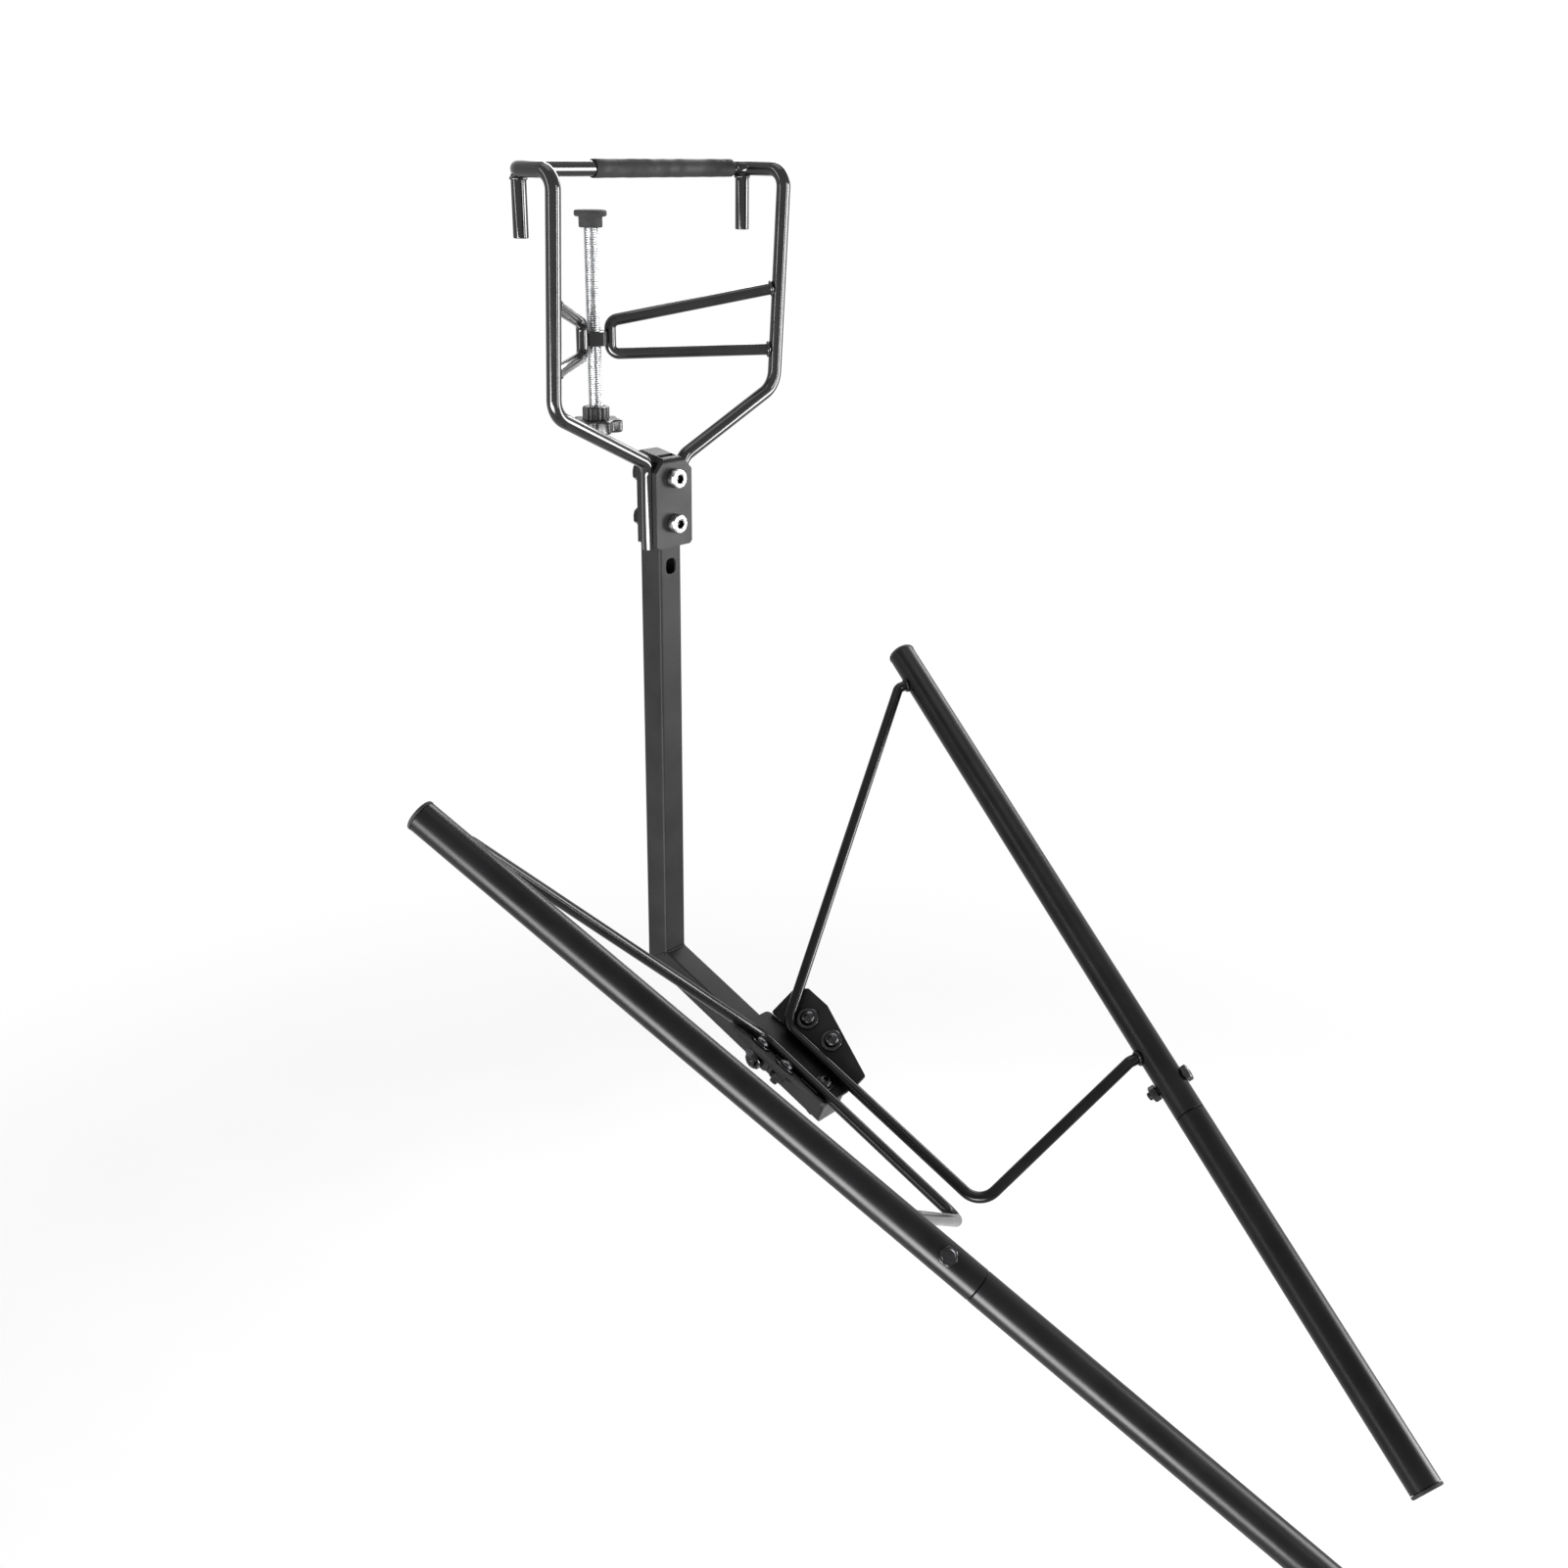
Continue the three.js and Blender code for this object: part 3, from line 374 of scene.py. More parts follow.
def runTree(piece, tree, values):
    modifier = piece.modifiers.new(tree.name, "NODES")
    modifier.node_group = tree
    for item in tree.interface.items_tree:
        if item.in_out == "INPUT" and item.name in values:
            modifier[item.identifier] = values[item.name]
    return bake(piece)


def sweep(board, curve, sides, radius):
    ring = board.put("GeometryNodeCurvePrimitiveCircle", {"mode": "RADIUS"},
                     {"Resolution": sides, "Radius": radius})
    return board.put("GeometryNodeCurveToMesh", {},
                     {"Curve": curve, "Profile Curve": ring, "Fill Caps": True})


def readAttribute(board, name, kind="FLOAT"):
    return board.put("GeometryNodeInputNamedAttribute", {"data_type": kind}, {"Name": name})


def storeAttribute(mesh, name, values):
    mesh.attributes.new(name, "FLOAT", "POINT").data.foreach_set("value", values)


# a round bar that follows a path, with a round bend at each corner
def makeRodTree():
    tree, board, wires = newTree("roundBar", [
        ("Radius", "NodeSocketFloat", 0.004), ("Sides", "NodeSocketInt", 40),
        ("Bend Steps", "NodeSocketInt", 12), ("Material", "NodeSocketMaterial", None),
    ])
    path = board.put("GeometryNodeMeshToCurve", {}, {"Mesh": wires["Geometry"]})
    rounded = board.put("GeometryNodeFilletCurve", {"mode": "POLY"}, {
        "Curve": path, "Count": wires["Bend Steps"], "Radius": readAttribute(board, "bend")})
    endTree(board, sweep(board, rounded, wires["Sides"], wires["Radius"]), wires["Material"])
    return tree


rodTree = makeRodTree()


def pathObject(name, points, bends, closed=False):
    mesh = bpy.data.meshes.new(name)
    count = len(points)
    edges = [(k, k + 1) for k in range(count - 1)]
    if closed:
        edges.append((count - 1, 0))
    mesh.from_pydata([Vector(p) * mm for p in points], edges, [])
    storeAttribute(mesh, "bend", [b * mm for b in bends])
    return linkMesh(name, mesh)


barEnd = {"merge": 0.000002, "edgeAngle": 1.0, "round": 0.0006, "segments": 3}


def easeEnds(work):
    bmesh.ops.remove_doubles(work, verts=work.verts, dist=barEnd["merge"])
    rim = [e for e in work.edges if len(e.link_faces) == 2 and e.calc_face_angle() > barEnd["edgeAngle"]]
    bmesh.ops.bevel(
        work, geom=rim, offset=barEnd["round"], segments=barEnd["segments"], affect="EDGES", profile=0.5
    )


def roundBar(name, points, bends, radius, finish, sides=40):
    piece = pathObject(name, points, [0.0, *bends, 0.0])
    runTree(piece, rodTree, {"Radius": radius * mm, "Sides": sides, "Material": finishes[finish]})
    rework(piece.data, easeEnds)
    return piece


def joinPieces(name, pieces):
    meshes = [piece.data for piece in pieces]
    whole = gather(name, [(mesh, Matrix.Identity(4)) for mesh in meshes])
    for piece in pieces:
        bpy.data.objects.remove(piece)
    return whole


weld = {"ripple": 0.16, "rippleStep": 1.25, "wobble": 0.06, "sides": 14, "step": 0.55, "ringSteps": 28}


# weld beads: a rippled round bead along a path
def makeWeldTree():
    tree, board, wires = newTree("weldBead", [
        ("Radius", "NodeSocketFloat", 0.0016), ("Step", "NodeSocketFloat", 0.0006),
        ("Ripple", "NodeSocketFloat", weld["ripple"]), ("Seed", "NodeSocketInt", 3),
        ("Material", "NodeSocketMaterial", None),
    ])
    path = board.put("GeometryNodeMeshToCurve", {}, {"Mesh": wires["Geometry"]})
    fine = board.put("GeometryNodeResampleCurve", {"mode": "LENGTH"},
                     {"Curve": path, "Length": wires["Step"]})
    index = board.put("GeometryNodeInputIndex")
    wobble = board.put("FunctionNodeRandomValue", {"data_type": "FLOAT"},
                       {2: -weld["wobble"], 3: weld["wobble"], "ID": index, "Seed": wires["Seed"]}, out=1)
    swell = 1.0 + (index * weld["rippleStep"]).sine() * wires["Ripple"] + wobble
    swollen = board.put("GeometryNodeSetCurveRadius", {}, {"Curve": fine, "Radius": swell})
    bead = sweep(board, swollen, weld["sides"], wires["Radius"])
    node = bead.socket.node
    if "Scale" in node.inputs:
        board.tree.links.new(swell.socket, node.inputs["Scale"])
    endTree(board, bead, wires["Material"])
    return tree


weldTree = makeWeldTree()


def weldBead(points, radius, finish, seed, closed=False):
    piece = pathObject("bead", points, [0.0] * len(points), closed)
    values = {"Radius": radius * mm, "Step": weld["step"] * mm, "Seed": seed, "Material": finishes[finish]}
    return runTree(piece, weldTree, values)


def ringBead(centre, axis, ringRadius, radius, finish, seed):
    place = along(centre, axis)
    spots = []
    for k in range(weld["ringSteps"]):
        angle = 2 * math.pi * k / weld["ringSteps"]
        spots.append(place @ Vector((ringRadius * math.cos(angle), ringRadius * math.sin(angle), 0)))
    return weldBead(spots, radius, finish, seed, True)


# equal fasteners set on points, each turned to its own direction
def makeSetTree():
    tree, board, wires = newTree("fastenerSet", [
        ("Shape", "NodeSocketObject", None), ("Material", "NodeSocketMaterial", None),
    ])
    source = board.put("GeometryNodeObjectInfo", {"transform_space": "ORIGINAL"},
                       {"Object": wires["Shape"]})
    shape = board.other(source, "Geometry")
    way = readAttribute(board, "way", "FLOAT_VECTOR")
    turn = readAttribute(board, "turn")
    face = board.put("FunctionNodeAlignRotationToVector", {"axis": "Z"}, {"Vector": way})
    spin = board.put("FunctionNodeAxisAngleToRotation", {}, {"Axis": (0, 0, 1), "Angle": turn})
    rotation = board.put("FunctionNodeRotateRotation", {"rotation_space": "LOCAL"},
                         {"Rotation": face, "Rotate By": spin})
    placed = board.put("GeometryNodeInstanceOnPoints", {},
                       {"Points": wires["Geometry"], "Instance": shape, "Rotation": rotation})
    endTree(board, placed, wires["Material"])
    return tree


setTree = makeSetTree()


# one turned fastener, set on each place: a point in millimetres, a direction and a turn about it
def addSet(name, rows, places, replaced=(), steps=72, finish="blackOxide"):
    shape = turnedMesh(name, rows, steps)
    mesh = bpy.data.meshes.new(name)
    mesh.from_pydata([Vector(p) * mm for p, way, turn in places], [], [])
    way = mesh.attributes.new("way", "FLOAT_VECTOR", "POINT")
    way.data.foreach_set("vector", [c for p, w, t in places for c in Vector(w).normalized()])
    storeAttribute(mesh, "turn", [t for p, w, t in places])
    source = linkMesh(name + "Shape", shape)
    piece = runTree(linkMesh(name, mesh), setTree, {"Shape": source, "Material": finishes[finish]})
    bpy.data.objects.remove(source)
    settle(piece, finish, "set", replaced)


# the groove's profile: slope and start of its flanks, where its root goes flat, its depth in pitches
threadForm = {"slope": 2.4, "start": 0.45, "root": 0.62, "depth": 0.48, "rowsPerTurn": 8, "around": 24}


# a screw thread: a fine grid rolled up, its radius following the helix
def makeThreadTree():
    tree, board, wires = newTree("screwThread", [
        ("Radius", "NodeSocketFloat", 0.0039), ("Depth", "NodeSocketFloat", 0.0006),
        ("Pitch", "NodeSocketFloat", 0.00125), ("Length", "NodeSocketFloat", 0.1),
        ("Rows", "NodeSocketInt", 700), ("Around", "NodeSocketInt", 25),
        ("Lead In", "NodeSocketFloat", 0.0012), ("Material", "NodeSocketMaterial", None),
    ])
    grid = board.put("GeometryNodeMeshGrid", {}, {
        "Size X": 1.0, "Size Y": 1.0, "Vertices X": wires["Around"], "Vertices Y": wires["Rows"]})
    spot = board.put("ShaderNodeSeparateXYZ", {}, {0: board.put("GeometryNodeInputPosition")})
    angle = (spot + 0.5) * (2 * math.pi)
    rise = (board.other(spot, "Y") + 0.5) * wires["Length"]
    phase = (rise / wires["Pitch"] - (spot + 0.5)).fraction()
    slope, start, root = threadForm["slope"], threadForm["start"], threadForm["root"]
    ridge = ((phase - 0.5).absolute() * slope - start).atLeast(0.0).atMost(root) / root
    nearEnd = rise.atMost(wires["Length"] - rise)
    lead = (1.0 - (nearEnd / wires["Lead In"]).atMost(1.0)) * wires["Depth"]
    reach = (wires["Radius"] - wires["Depth"] * ridge).atMost(wires["Radius"] - lead)
    across, up = reach * angle.cosine(), reach * angle.sine()
    rolled = board.put("ShaderNodeCombineXYZ", {}, {0: across, 1: up, 2: rise})
    moved = board.put("GeometryNodeSetPosition", {}, {"Geometry": grid, "Position": rolled})
    closed = board.put("GeometryNodeMergeByDistance", {}, {"Geometry": moved, "Distance": 0.000002})
    endTree(board, closed, wires["Material"])
    return tree


threadTree = makeThreadTree()


def capEnds(work):
    rim = [e for e in work.edges if len(e.link_faces) == 1]
    bmesh.ops.holes_fill(work, edges=rim, sides=0)


def threadMesh(name, radius, length, pitch, finish):
    piece = linkMesh(name, bpy.data.meshes.new(name))
    values = {"Radius": radius * mm, "Depth": threadForm["depth"] * pitch * mm, "Pitch": pitch * mm,
              "Length": length * mm, "Rows": int(length / pitch * threadForm["rowsPerTurn"]) + 1,
              "Around": threadForm["around"] + 1, "Material": finishes[finish]}
    runTree(piece, threadTree, values)
    rework(piece.data, capEnds)
    mesh = piece.data.copy()
    bpy.data.objects.remove(piece)
    return mesh


print("stage: trees built")

# hanger: one bent rod; its sizes and all that follow are in millimetres, as the frame has them
hanger = {"legX": 100.5, "legY": -19.7, "barY": 19.7, "radius": 4.75, "footY": -12.2, "bendZ": -138.4,
          "joinX": 15.05, "joinY": -5.25, "joinZ": -180, "endZ": -238.3, "stubLow": -35, "stubTop": 2.0,
          "bends": [12, 16, 11, 11], "sides": 48}


def hangerSide(side):
    h = hanger
    return [(side * h["joinX"], h["joinY"], h["endZ"]), (side * h["joinX"], h["joinY"], h["joinZ"]),
            (side * h["legX"], h["footY"], h["bendZ"]), (side * h["legX"], h["legY"], h["radius"]),
            (side * h["legX"], h["barY"], h["radius"])]


rodPath = hangerSide(-1) + hangerSide(1)[::-1]
rodBends = hanger["bends"] + hanger["bends"][::-1]
hangerRod = roundBar("hangerRod", rodPath, rodBends, hanger["radius"], "glossCoat", hanger["sides"])
settle(hangerRod, "glossCoat", "bar", ["hanger_rod"])

# stubs, which hang from the middle of the crossbar's bends
stubInset = hanger["bends"][-1] * (1 - math.sqrt(0.5))
stubX = hanger["legX"] - stubInset
stubY = hanger["barY"] - stubInset
stubs = []
for side in (-1, 1):
    ends = [(side * stubX, stubY, hanger["stubLow"]), (side * stubX, stubY, hanger["stubTop"])]
    stubs.append(roundBar("stub", ends, [], hanger["radius"], "glossCoat"))
settle(joinPieces("hangerStubs", stubs), "glossCoat", "bar", ["stub_left", "stub_right"])

# tension arms: a hairpin on each side
arms = {"x": 12.8, "y": 61, "legTop": -71.5, "legLow": -113.2, "endTop": -94.2, "endLow": -116.1,
        "radius": 4, "bend": 6, "sunk": 0.6}


def legPoint(side, z):
    share = (hanger["radius"] - z) / (hanger["radius"] - hanger["bendZ"])
    return Vector((side * hanger["legX"], hanger["legY"] + (hanger["footY"] - hanger["legY"]) * share, z))


def armPath(side):
    upper = Vector((side * arms["x"], arms["y"], arms["endTop"]))
    lower = Vector((side * arms["x"], arms["y"], arms["endLow"]))
    ends = []
    for z, corner in ((arms["legTop"], upper), (arms["legLow"], lower)):
        root = legPoint(side, z)
        ends.append(root + (corner - root).normalized() * (hanger["radius"] - arms["sunk"]))
    return [ends[0], upper, lower, ends[1]]


hairpins = []
for side in (-1, 1):
    hairpins.append(roundBar("hairpin", armPath(side), [arms["bend"]] * 2, arms["radius"], "glossCoat"))
settle(joinPieces("tensionArms", hairpins), "glossCoat", "bar", ["tension_arm_left", "tension_arm_right"])

# welds of the arms and stubs on the rod
hangerWeld = {"armOut": 1.0, "armRing": 4.1, "armBead": 1.3, "stubZ": -0.6, "stubRing": 4.4,
              "stubBead": 1.1}
beads = []
for side in (-1, 1):
    path = armPath(side)
    for root, corner in ((path[0], path[1]), (path[3], path[2])):
        way = (corner - root).normalized()
        beads.append(ringBead(root + way * hangerWeld["armOut"], way, hangerWeld["armRing"],
                              hangerWeld["armBead"], "glossCoat", len(beads)))
    beads.append(ringBead((side * stubX, stubY, hangerWeld["stubZ"]), (0, 0, 1), hangerWeld["stubRing"],
                          hangerWeld["stubBead"], "glossCoat", len(beads)))
settle(joinPieces("hangerWelds", beads), "glossCoat", "weld")
print("stage: hanger made")

# sleeve on the crossbar, with slight waves along it: height, step and start of each
sleeve = {"left": -35.5, "right": 89, "inner": 5.0, "outer": 5.7, "edge": 0.3, "ease": 0.35, "steps": 60,
          "sides": 48, "waves": ((0.05, 0.9, 0.0), (0.04, 0.37, 1.1))}


def sleeveRows(s):
    length = s["right"] - s["left"]
    rows = [(s["inner"], s["edge"]), (s["outer"] - s["edge"], 0.0), (s["outer"], s["ease"])]
    for k in range(1, s["steps"]):
        wave = sum(height * math.sin(k * step + start) for height, step, start in s["waves"])
        rows.append((s["outer"] + wave, length * k / s["steps"]))
    rows += [(s["outer"], length - s["ease"]), (s["outer"] - s["edge"], length),
             (s["inner"], length - s["edge"])]
    return rows


sleevePlace = along(Vector((sleeve["left"], hanger["barY"], hanger["radius"])) * mm, (1, 0, 0))
rimSleeve = turnedPiece("rimSleeve", sleeveRows(sleeve), sleevePlace, sleeve["sides"])
settle(rimSleeve, "blackRubber", "sleeve", ["rim_sleeve"])

# clamp screw
clamp = {"y": 63.5, "radius": 4.9, "pitch": 1.5, "screwLow": -164.7, "screwTop": -27.3}


def onScrewAxis(z=0):
    return Matrix.Translation(Vector((0, clamp["y"], z)) * mm)


screwLength = clamp["screwTop"] - clamp["screwLow"]
screwMesh = threadMesh("clampScrew", clamp["radius"], screwLength, clamp["pitch"], "threadZinc")
clampScrew = gather("clampScrew", [(screwMesh, onScrewAxis(clamp["screwLow"]))])
settle(clampScrew, "threadZinc", "screw", ["clamp_screw"], "screw")

# a hexagon's corners are cut back at the top, or at both ends
hexEdge = {"flat": 0.95, "fall": 0.58, "drop": 0.02, "round": 0.12, "rise": 0.15}


def hexRows(across, height, bothEnds=False):
    reach = hexReach(across)
    flat = across / 2 * hexEdge["flat"]
    rise = hexEdge["rise"]

    def cut(angle):
        return max(0.0, reach(angle) - across / 2) * hexEdge["fall"] + hexEdge["drop"]

    def bottom(angle):
        return cut(angle) if bothEnds else 0.0

    def shy(angle):
        return reach(angle) - hexEdge["round"]
    rows = [(flat, 0.0)] if bothEnds else []
    rows += [(shy, bottom), (reach, lambda a: bottom(a) + rise), (reach, lambda a: height - cut(a) - rise),
             (shy, lambda a: height - cut(a)), (flat, height)]
    return rows


def hexNutRows(s):
    bore, height = s["bore"], s["nut"]
    inside = [(bore + 0.5, height), (bore, height - 0.5), (bore, 0.5)]
    return [(bore + 0.5, 0.0)] + hexRows(s["across"], height, True) + inside


def shankRows(shank, length):
    return [(0, -length), (shank - 0.5, -length), (shank, -length + 0.6), (shank, 0.0)]


# the head's top is dished a little
def hexBoltRows(s, length):
    height = s["head"]
    flat = s["across"] / 2 * hexEdge["flat"]
    dish = [(flat * 0.86, height), (flat * 0.8, height - 0.25), (0, height - 0.3)]
    return shankRows(s["shank"], length) + hexRows(s["across"], height) + dish


def buttonBoltRows(s, length):
    rows = shankRows(s["shank"], length) + [(s["head"] - 0.15, 0.0), (s["head"], 0.15)]
    for step in range(1, s["arcSteps"]):
        angle = math.pi / 2 * step / s["arcWhole"]
        rows.append((s["head"] * math.cos(angle), s["height"] * math.sin(angle)))
    lip = s["height"] * math.sin(angle) + 0.04
    low = lip - s["depth"]
    reach = hexReach(s["socket"])
    rows += [(lambda a: reach(a) + 0.12, lip), (reach, lip - 0.2), (reach, low),
             (s["socket"] / 2 * 0.8, low), (0, low - 0.5)]
    return rows


# clamp nut between the hairpins, with its welds
clampNut = {"across": 17, "nut": 10, "low": -110, "bore": 5.2, "weldX": 8.7, "weldReach": 3.0,
            "weldZ": (-108.0, -102.0), "bead": 1.0, "seed": 20}
nutPiece = turnedPiece("clampNut", hexNutRows(clampNut), onScrewAxis(clampNut["low"]))
settle(nutPiece, "glossCoat", "screw", ["clamp_nut"])
nutBeads = []
for side in (-1, 1):
    for z in clampNut["weldZ"]:
        ends = [(side * clampNut["weldX"], clamp["y"] + way * clampNut["weldReach"], z) for way in (-1, 1)]
        nutBeads.append(weldBead(ends, clampNut["bead"], "glossCoat", clampNut["seed"] + len(nutBeads)))
settle(joinPieces("nutWelds", nutBeads), "glossCoat", "weld")

# clamp foot: a grooved pad with a collar that takes the screw's end
foot = {"top": -22, "flange": 11, "thick": 4, "collar": 8, "low": -33, "bore": 5.2, "socket": 6,
        "grooves": 3, "grooveStep": 2.2, "grooveDepth": 0.45, "sides": 56}


def footRows():
    top, low, bore, collar, flange = (foot[k] for k in ("top", "low", "bore", "collar", "flange"))
    under = top - foot["thick"]
    rows = [
        (0, low + foot["socket"]), (bore, low + foot["socket"]), (bore, low + 0.4), (bore + 0.4, low),
        (collar - 0.5, low), (collar, low + 0.5), (collar, under - 0.6), (collar + 0.6, under),
        (flange - 0.8, under), (flange, under + 0.8), (flange, top - 1.0), (flange - 0.3, top - 0.3),
        (flange - 1.0, top),
    ]
    floor = top - foot["grooveDepth"]
    for k in range(foot["grooves"]):
        radius = flange - foot["grooveStep"] * (k + 1)
        rows += [(radius + 0.45, top), (radius + 0.2, floor), (radius - 0.2, floor), (radius - 0.45, top)]
    return rows + [(0, top)]


clampFoot = turnedPiece("clampFoot", footRows(), onScrewAxis(), foot["sides"])
settle(clampFoot, "blackRubber", "turned", ["clamp_foot"], "foot")

# star knob with its fluted hub
knob = {"top": -151, "hubRadius": 9.5, "hubHeight": 8.5, "radius": 18.5, "thick": 9, "lobes": 7,
        "lobeDepth": 4.4, "lobePower": 0.8, "flutes": 12, "fluteDepth": 1.0, "flutePower": 0.6, "round": 1.8,
        "arcSteps": 6, "bore": 5.2, "socket": 14, "sides": 168}


def knobRows():
    k = knob
    top, bore, r = k["top"], k["bore"], k["round"]
    discTop = top - k["hubHeight"]
    discLow = discTop - k["thick"]

    def lobe(inset):
        def reach(angle):
            swing = math.cos(k["lobes"] * angle)
            return k["radius"] - inset - k["lobeDepth"] * (0.5 - 0.5 * swing) ** k["lobePower"]
        return reach

    def flute(inset):
        def reach(angle):
            swing = abs(math.cos(k["flutes"] * angle / 2))
            return k["hubRadius"] - inset - k["fluteDepth"] * (1 - swing ** k["flutePower"])
        return reach
    rows = [(0, top - k["socket"]), (bore, top - k["socket"]), (bore, top - 0.5), (bore + 0.5, top),
            (flute(1.0), top), (flute(0.3), top - 0.3), (flute(0), top - 1.0), (flute(0), discTop + 0.7),
            (flute(-0.4), discTop + 0.1)]
    arc = [math.pi / 2 * step / k["arcSteps"] for step in range(k["arcSteps"] + 1)]
    rows += [(lobe(r * (1 - math.sin(a))), discTop - r * (1 - math.cos(a))) for a in arc]
    rows += [(lobe(r * (1 - math.cos(a))), discLow + r * (1 - math.sin(a))) for a in arc]
    rows += [(9.0, discLow), (8.6, discLow + 0.5), (8.2, discLow + 0.5), (7.8, discLow), (0, discLow)]
    return rows


starKnob = turnedPiece("starKnob", knobRows(), onScrewAxis(), knob["sides"])
settle(starKnob, "blackPlastic", "turned", ["star_knob"], "screw")
print("stage: clamp made")

# post, bracket, arm and plates: node, eased width of the edges, finish
copies = {
    "postBracket": ("post_bracket", 0.5, "plateCoat"),
    "postTube": ("post", 0.3, "satinCoat"),
    "armTube": ("arm", 0.3, "satinCoat"),
    "armPlug": ("arm_plug", 0.5, "blackPlastic"),
    "armBracket": ("arm_bracket", 0.4, "plateCoat"),
    "chutePlateLeft": ("chute_plate_left", 0.4, "plateCoat"),
    "chutePlateRight": ("chute_plate_right", 0.4, "plateCoat"),
}
for name, (node, width, finish) in copies.items():
    settle(easedCopy(name, node, width), finish, "copy", [node])
print("stage: post and arm made")

# the square tubes; a place on the arm is given across it, along it and above its top
tubes = {"half": 10, "slope": math.radians(20.7), "postFoot": -547.6, "weldHalf": 8.4}
armStart = Matrix.Translation((0, -tubes["half"], tubes["postFoot"]))
armFrame = armStart @ Matrix.Rotation(tubes["slope"], 4, "X")


def fromArm(x, run, height):
    return armFrame @ Vector((x, -run, height))


# mitre weld round the joint of post and arm
def mitreSpot(x, y):
    fall = math.tan((math.pi / 2 - tubes["slope"]) / 2)
    return x, y, tubes["postFoot"] - (y + tubes["half"]) * fall


# each run: start, end, radius of the bead, seed
half, weldHalf = tubes["half"], tubes["weldHalf"]
mitreRuns = (
    ((-weldHalf, -half), (weldHalf, -half), 1.1, 41), ((-half, -weldHalf), (-half, weldHalf), 1.0, 41),
    ((half, -weldHalf), (half, weldHalf), 1.0, 43), ((-weldHalf, half), (weldHalf, half), 0.9, 45),
)
mitreBeads = []
for start, end, radius, seed in mitreRuns:
    mitreBeads.append(weldBead([mitreSpot(*start), mitreSpot(*end)], radius, "satinCoat", seed))
settle(joinPieces("mitreWeld", mitreBeads), "satinCoat", "weld")

# hanger welds on the bracket's sides
bracketWeld = {"x": 10.9, "apart": 4.2, "top": -200, "low": -236, "bead": 1.0, "seed": 50}
sideBeads = []
for side in (-1, 1):
    for way in (-1, 1):
        x, y = side * bracketWeld["x"], hanger["joinY"] + way * bracketWeld["apart"]
        ends = [(x, y, bracketWeld["top"]), (x, y, bracketWeld["low"])]
        seed = bracketWeld["seed"] + len(sideBeads)
        sideBeads.append(weldBead(ends, bracketWeld["bead"], "glossCoat", seed))
settle(joinPieces("postWelds", sideBeads), "glossCoat", "weld")

# socket screws through bracket and post, with domed nuts behind
postScrews = {"z": (-190.3, -221.0), "y": -14.6, "turn": 0.3, "head": 6.5, "height": 6.0, "socket": 6,
              "depth": 3.2, "shank": 3.9, "length": 35.2}
postNuts = {"across": 13, "height": 5.5, "dome": 3.2, "domeRadius": 5.75, "bore": 4.2, "depth": 6.3,
            "turn": 0.1, "arcSteps": 9}


def capScrewRows(s):
    head, height, rim = s["head"], s["height"], s["socket"] / 2
    low = height - s["depth"]
    reach = hexReach(s["socket"])
    return shankRows(s["shank"], s["length"]) + [
        (head - 0.2, 0.0), (head, 0.2), (head, height - 0.9), (head - 0.25, height - 0.35),
        (head - 0.9, height), (rim + 1.0, height), (rim + 0.62, height - 0.1), (reach, height - 0.45),
        (reach, low), (rim * 0.8, low), (0, low - 0.8),
    ]


# a dark cup lining each socket: painted shade standing in for the darkness of the recess
def socketShadeRows(s):
    reach = hexReach(s["socket"] - 0.04)
    inner = hexReach(s["socket"] - 0.5)
    top = s["height"] - 0.3
    low = s["height"] - s["depth"] + 0.02
    return [(0, low), (reach, low), (reach, top), (inner, top), (inner, low + 0.3), (0, low + 0.3)]


def domeNutRows(s):
    height, bore, depth = s["height"], s["bore"], s["depth"]
    rows = [(0, depth), (bore, depth), (bore, 0.4), (bore + 0.4, 0.0)]
    rows += hexRows(s["across"], height, True)
    for step in range(s["arcSteps"]):
        angle = math.pi / 2 * step / s["arcSteps"]
        rows.append((s["domeRadius"] * math.cos(angle), height + s["dome"] * math.sin(angle)))
    return rows + [(0, height + s["dome"])]


screwSpots = [((0, postScrews["y"], z), (0, -1, 0), postScrews["turn"]) for z in postScrews["z"]]
postNutSpots = [((0, -postScrews["y"], z), (0, 1, 0), postNuts["turn"]) for z in postScrews["z"]]
screwNodes = ["post_screw_upper", "post_screw_lower"]
addSet("postScrews", capScrewRows(postScrews), screwSpots, screwNodes, finish="brightZinc")
# dark cups in the screws' sockets, painted shade
addSet("postSockets", socketShadeRows(postScrews), screwSpots)
addSet("postNuts", domeNutRows(postNuts), postNutSpots, ["post_nut_upper", "post_nut_lower"])
print("stage: post screws made")

# rails: an upper and a lower tube each, joined over a spigot
rails = {"top": (233.5, -33.7, -362.1), "bottom": (53, -591.6, -716.7), "radius": 10.5, "bore": 9.0,
         "seam": 427.5, "edge": 0.25, "steps": 64, "capGap": 0.3, "boltBack": 24,
         "boltTilt": math.radians(48), "boltSeat": 10.8, "boltLength": 29.1, "boltTurn": 0.2, "nutTurn": 0.4}
spigot = {"radius": 8.7, "bore": 7.2, "length": 41.6, "ease": 0.2, "lead": 0.6, "gap": 0.3, "bevel": 0.6,
          "widens": (4, 8)}


def railEnds(side):
    x, y, z = rails["top"]
    u, v, w = rails["bottom"]
    return Vector((side * x, y, z)), Vector((side * u, v, w))


def railWay(side):
    top, bottom = railEnds(side)
    return (bottom - top).normalized()


def railSpot(side, run):
    return railEnds(side)[0] + railWay(side) * run


# the direction out of a rail's side, turned up by an angle
def railSide(side, angle):
    way = railWay(side)
    level = Vector((-way.y, way.x, 0)).normalized() * side
    rise = (Vector((0, 0, 1)) - way * way.z).normalized()
    return level * math.cos(angle) + rise * math.sin(angle)


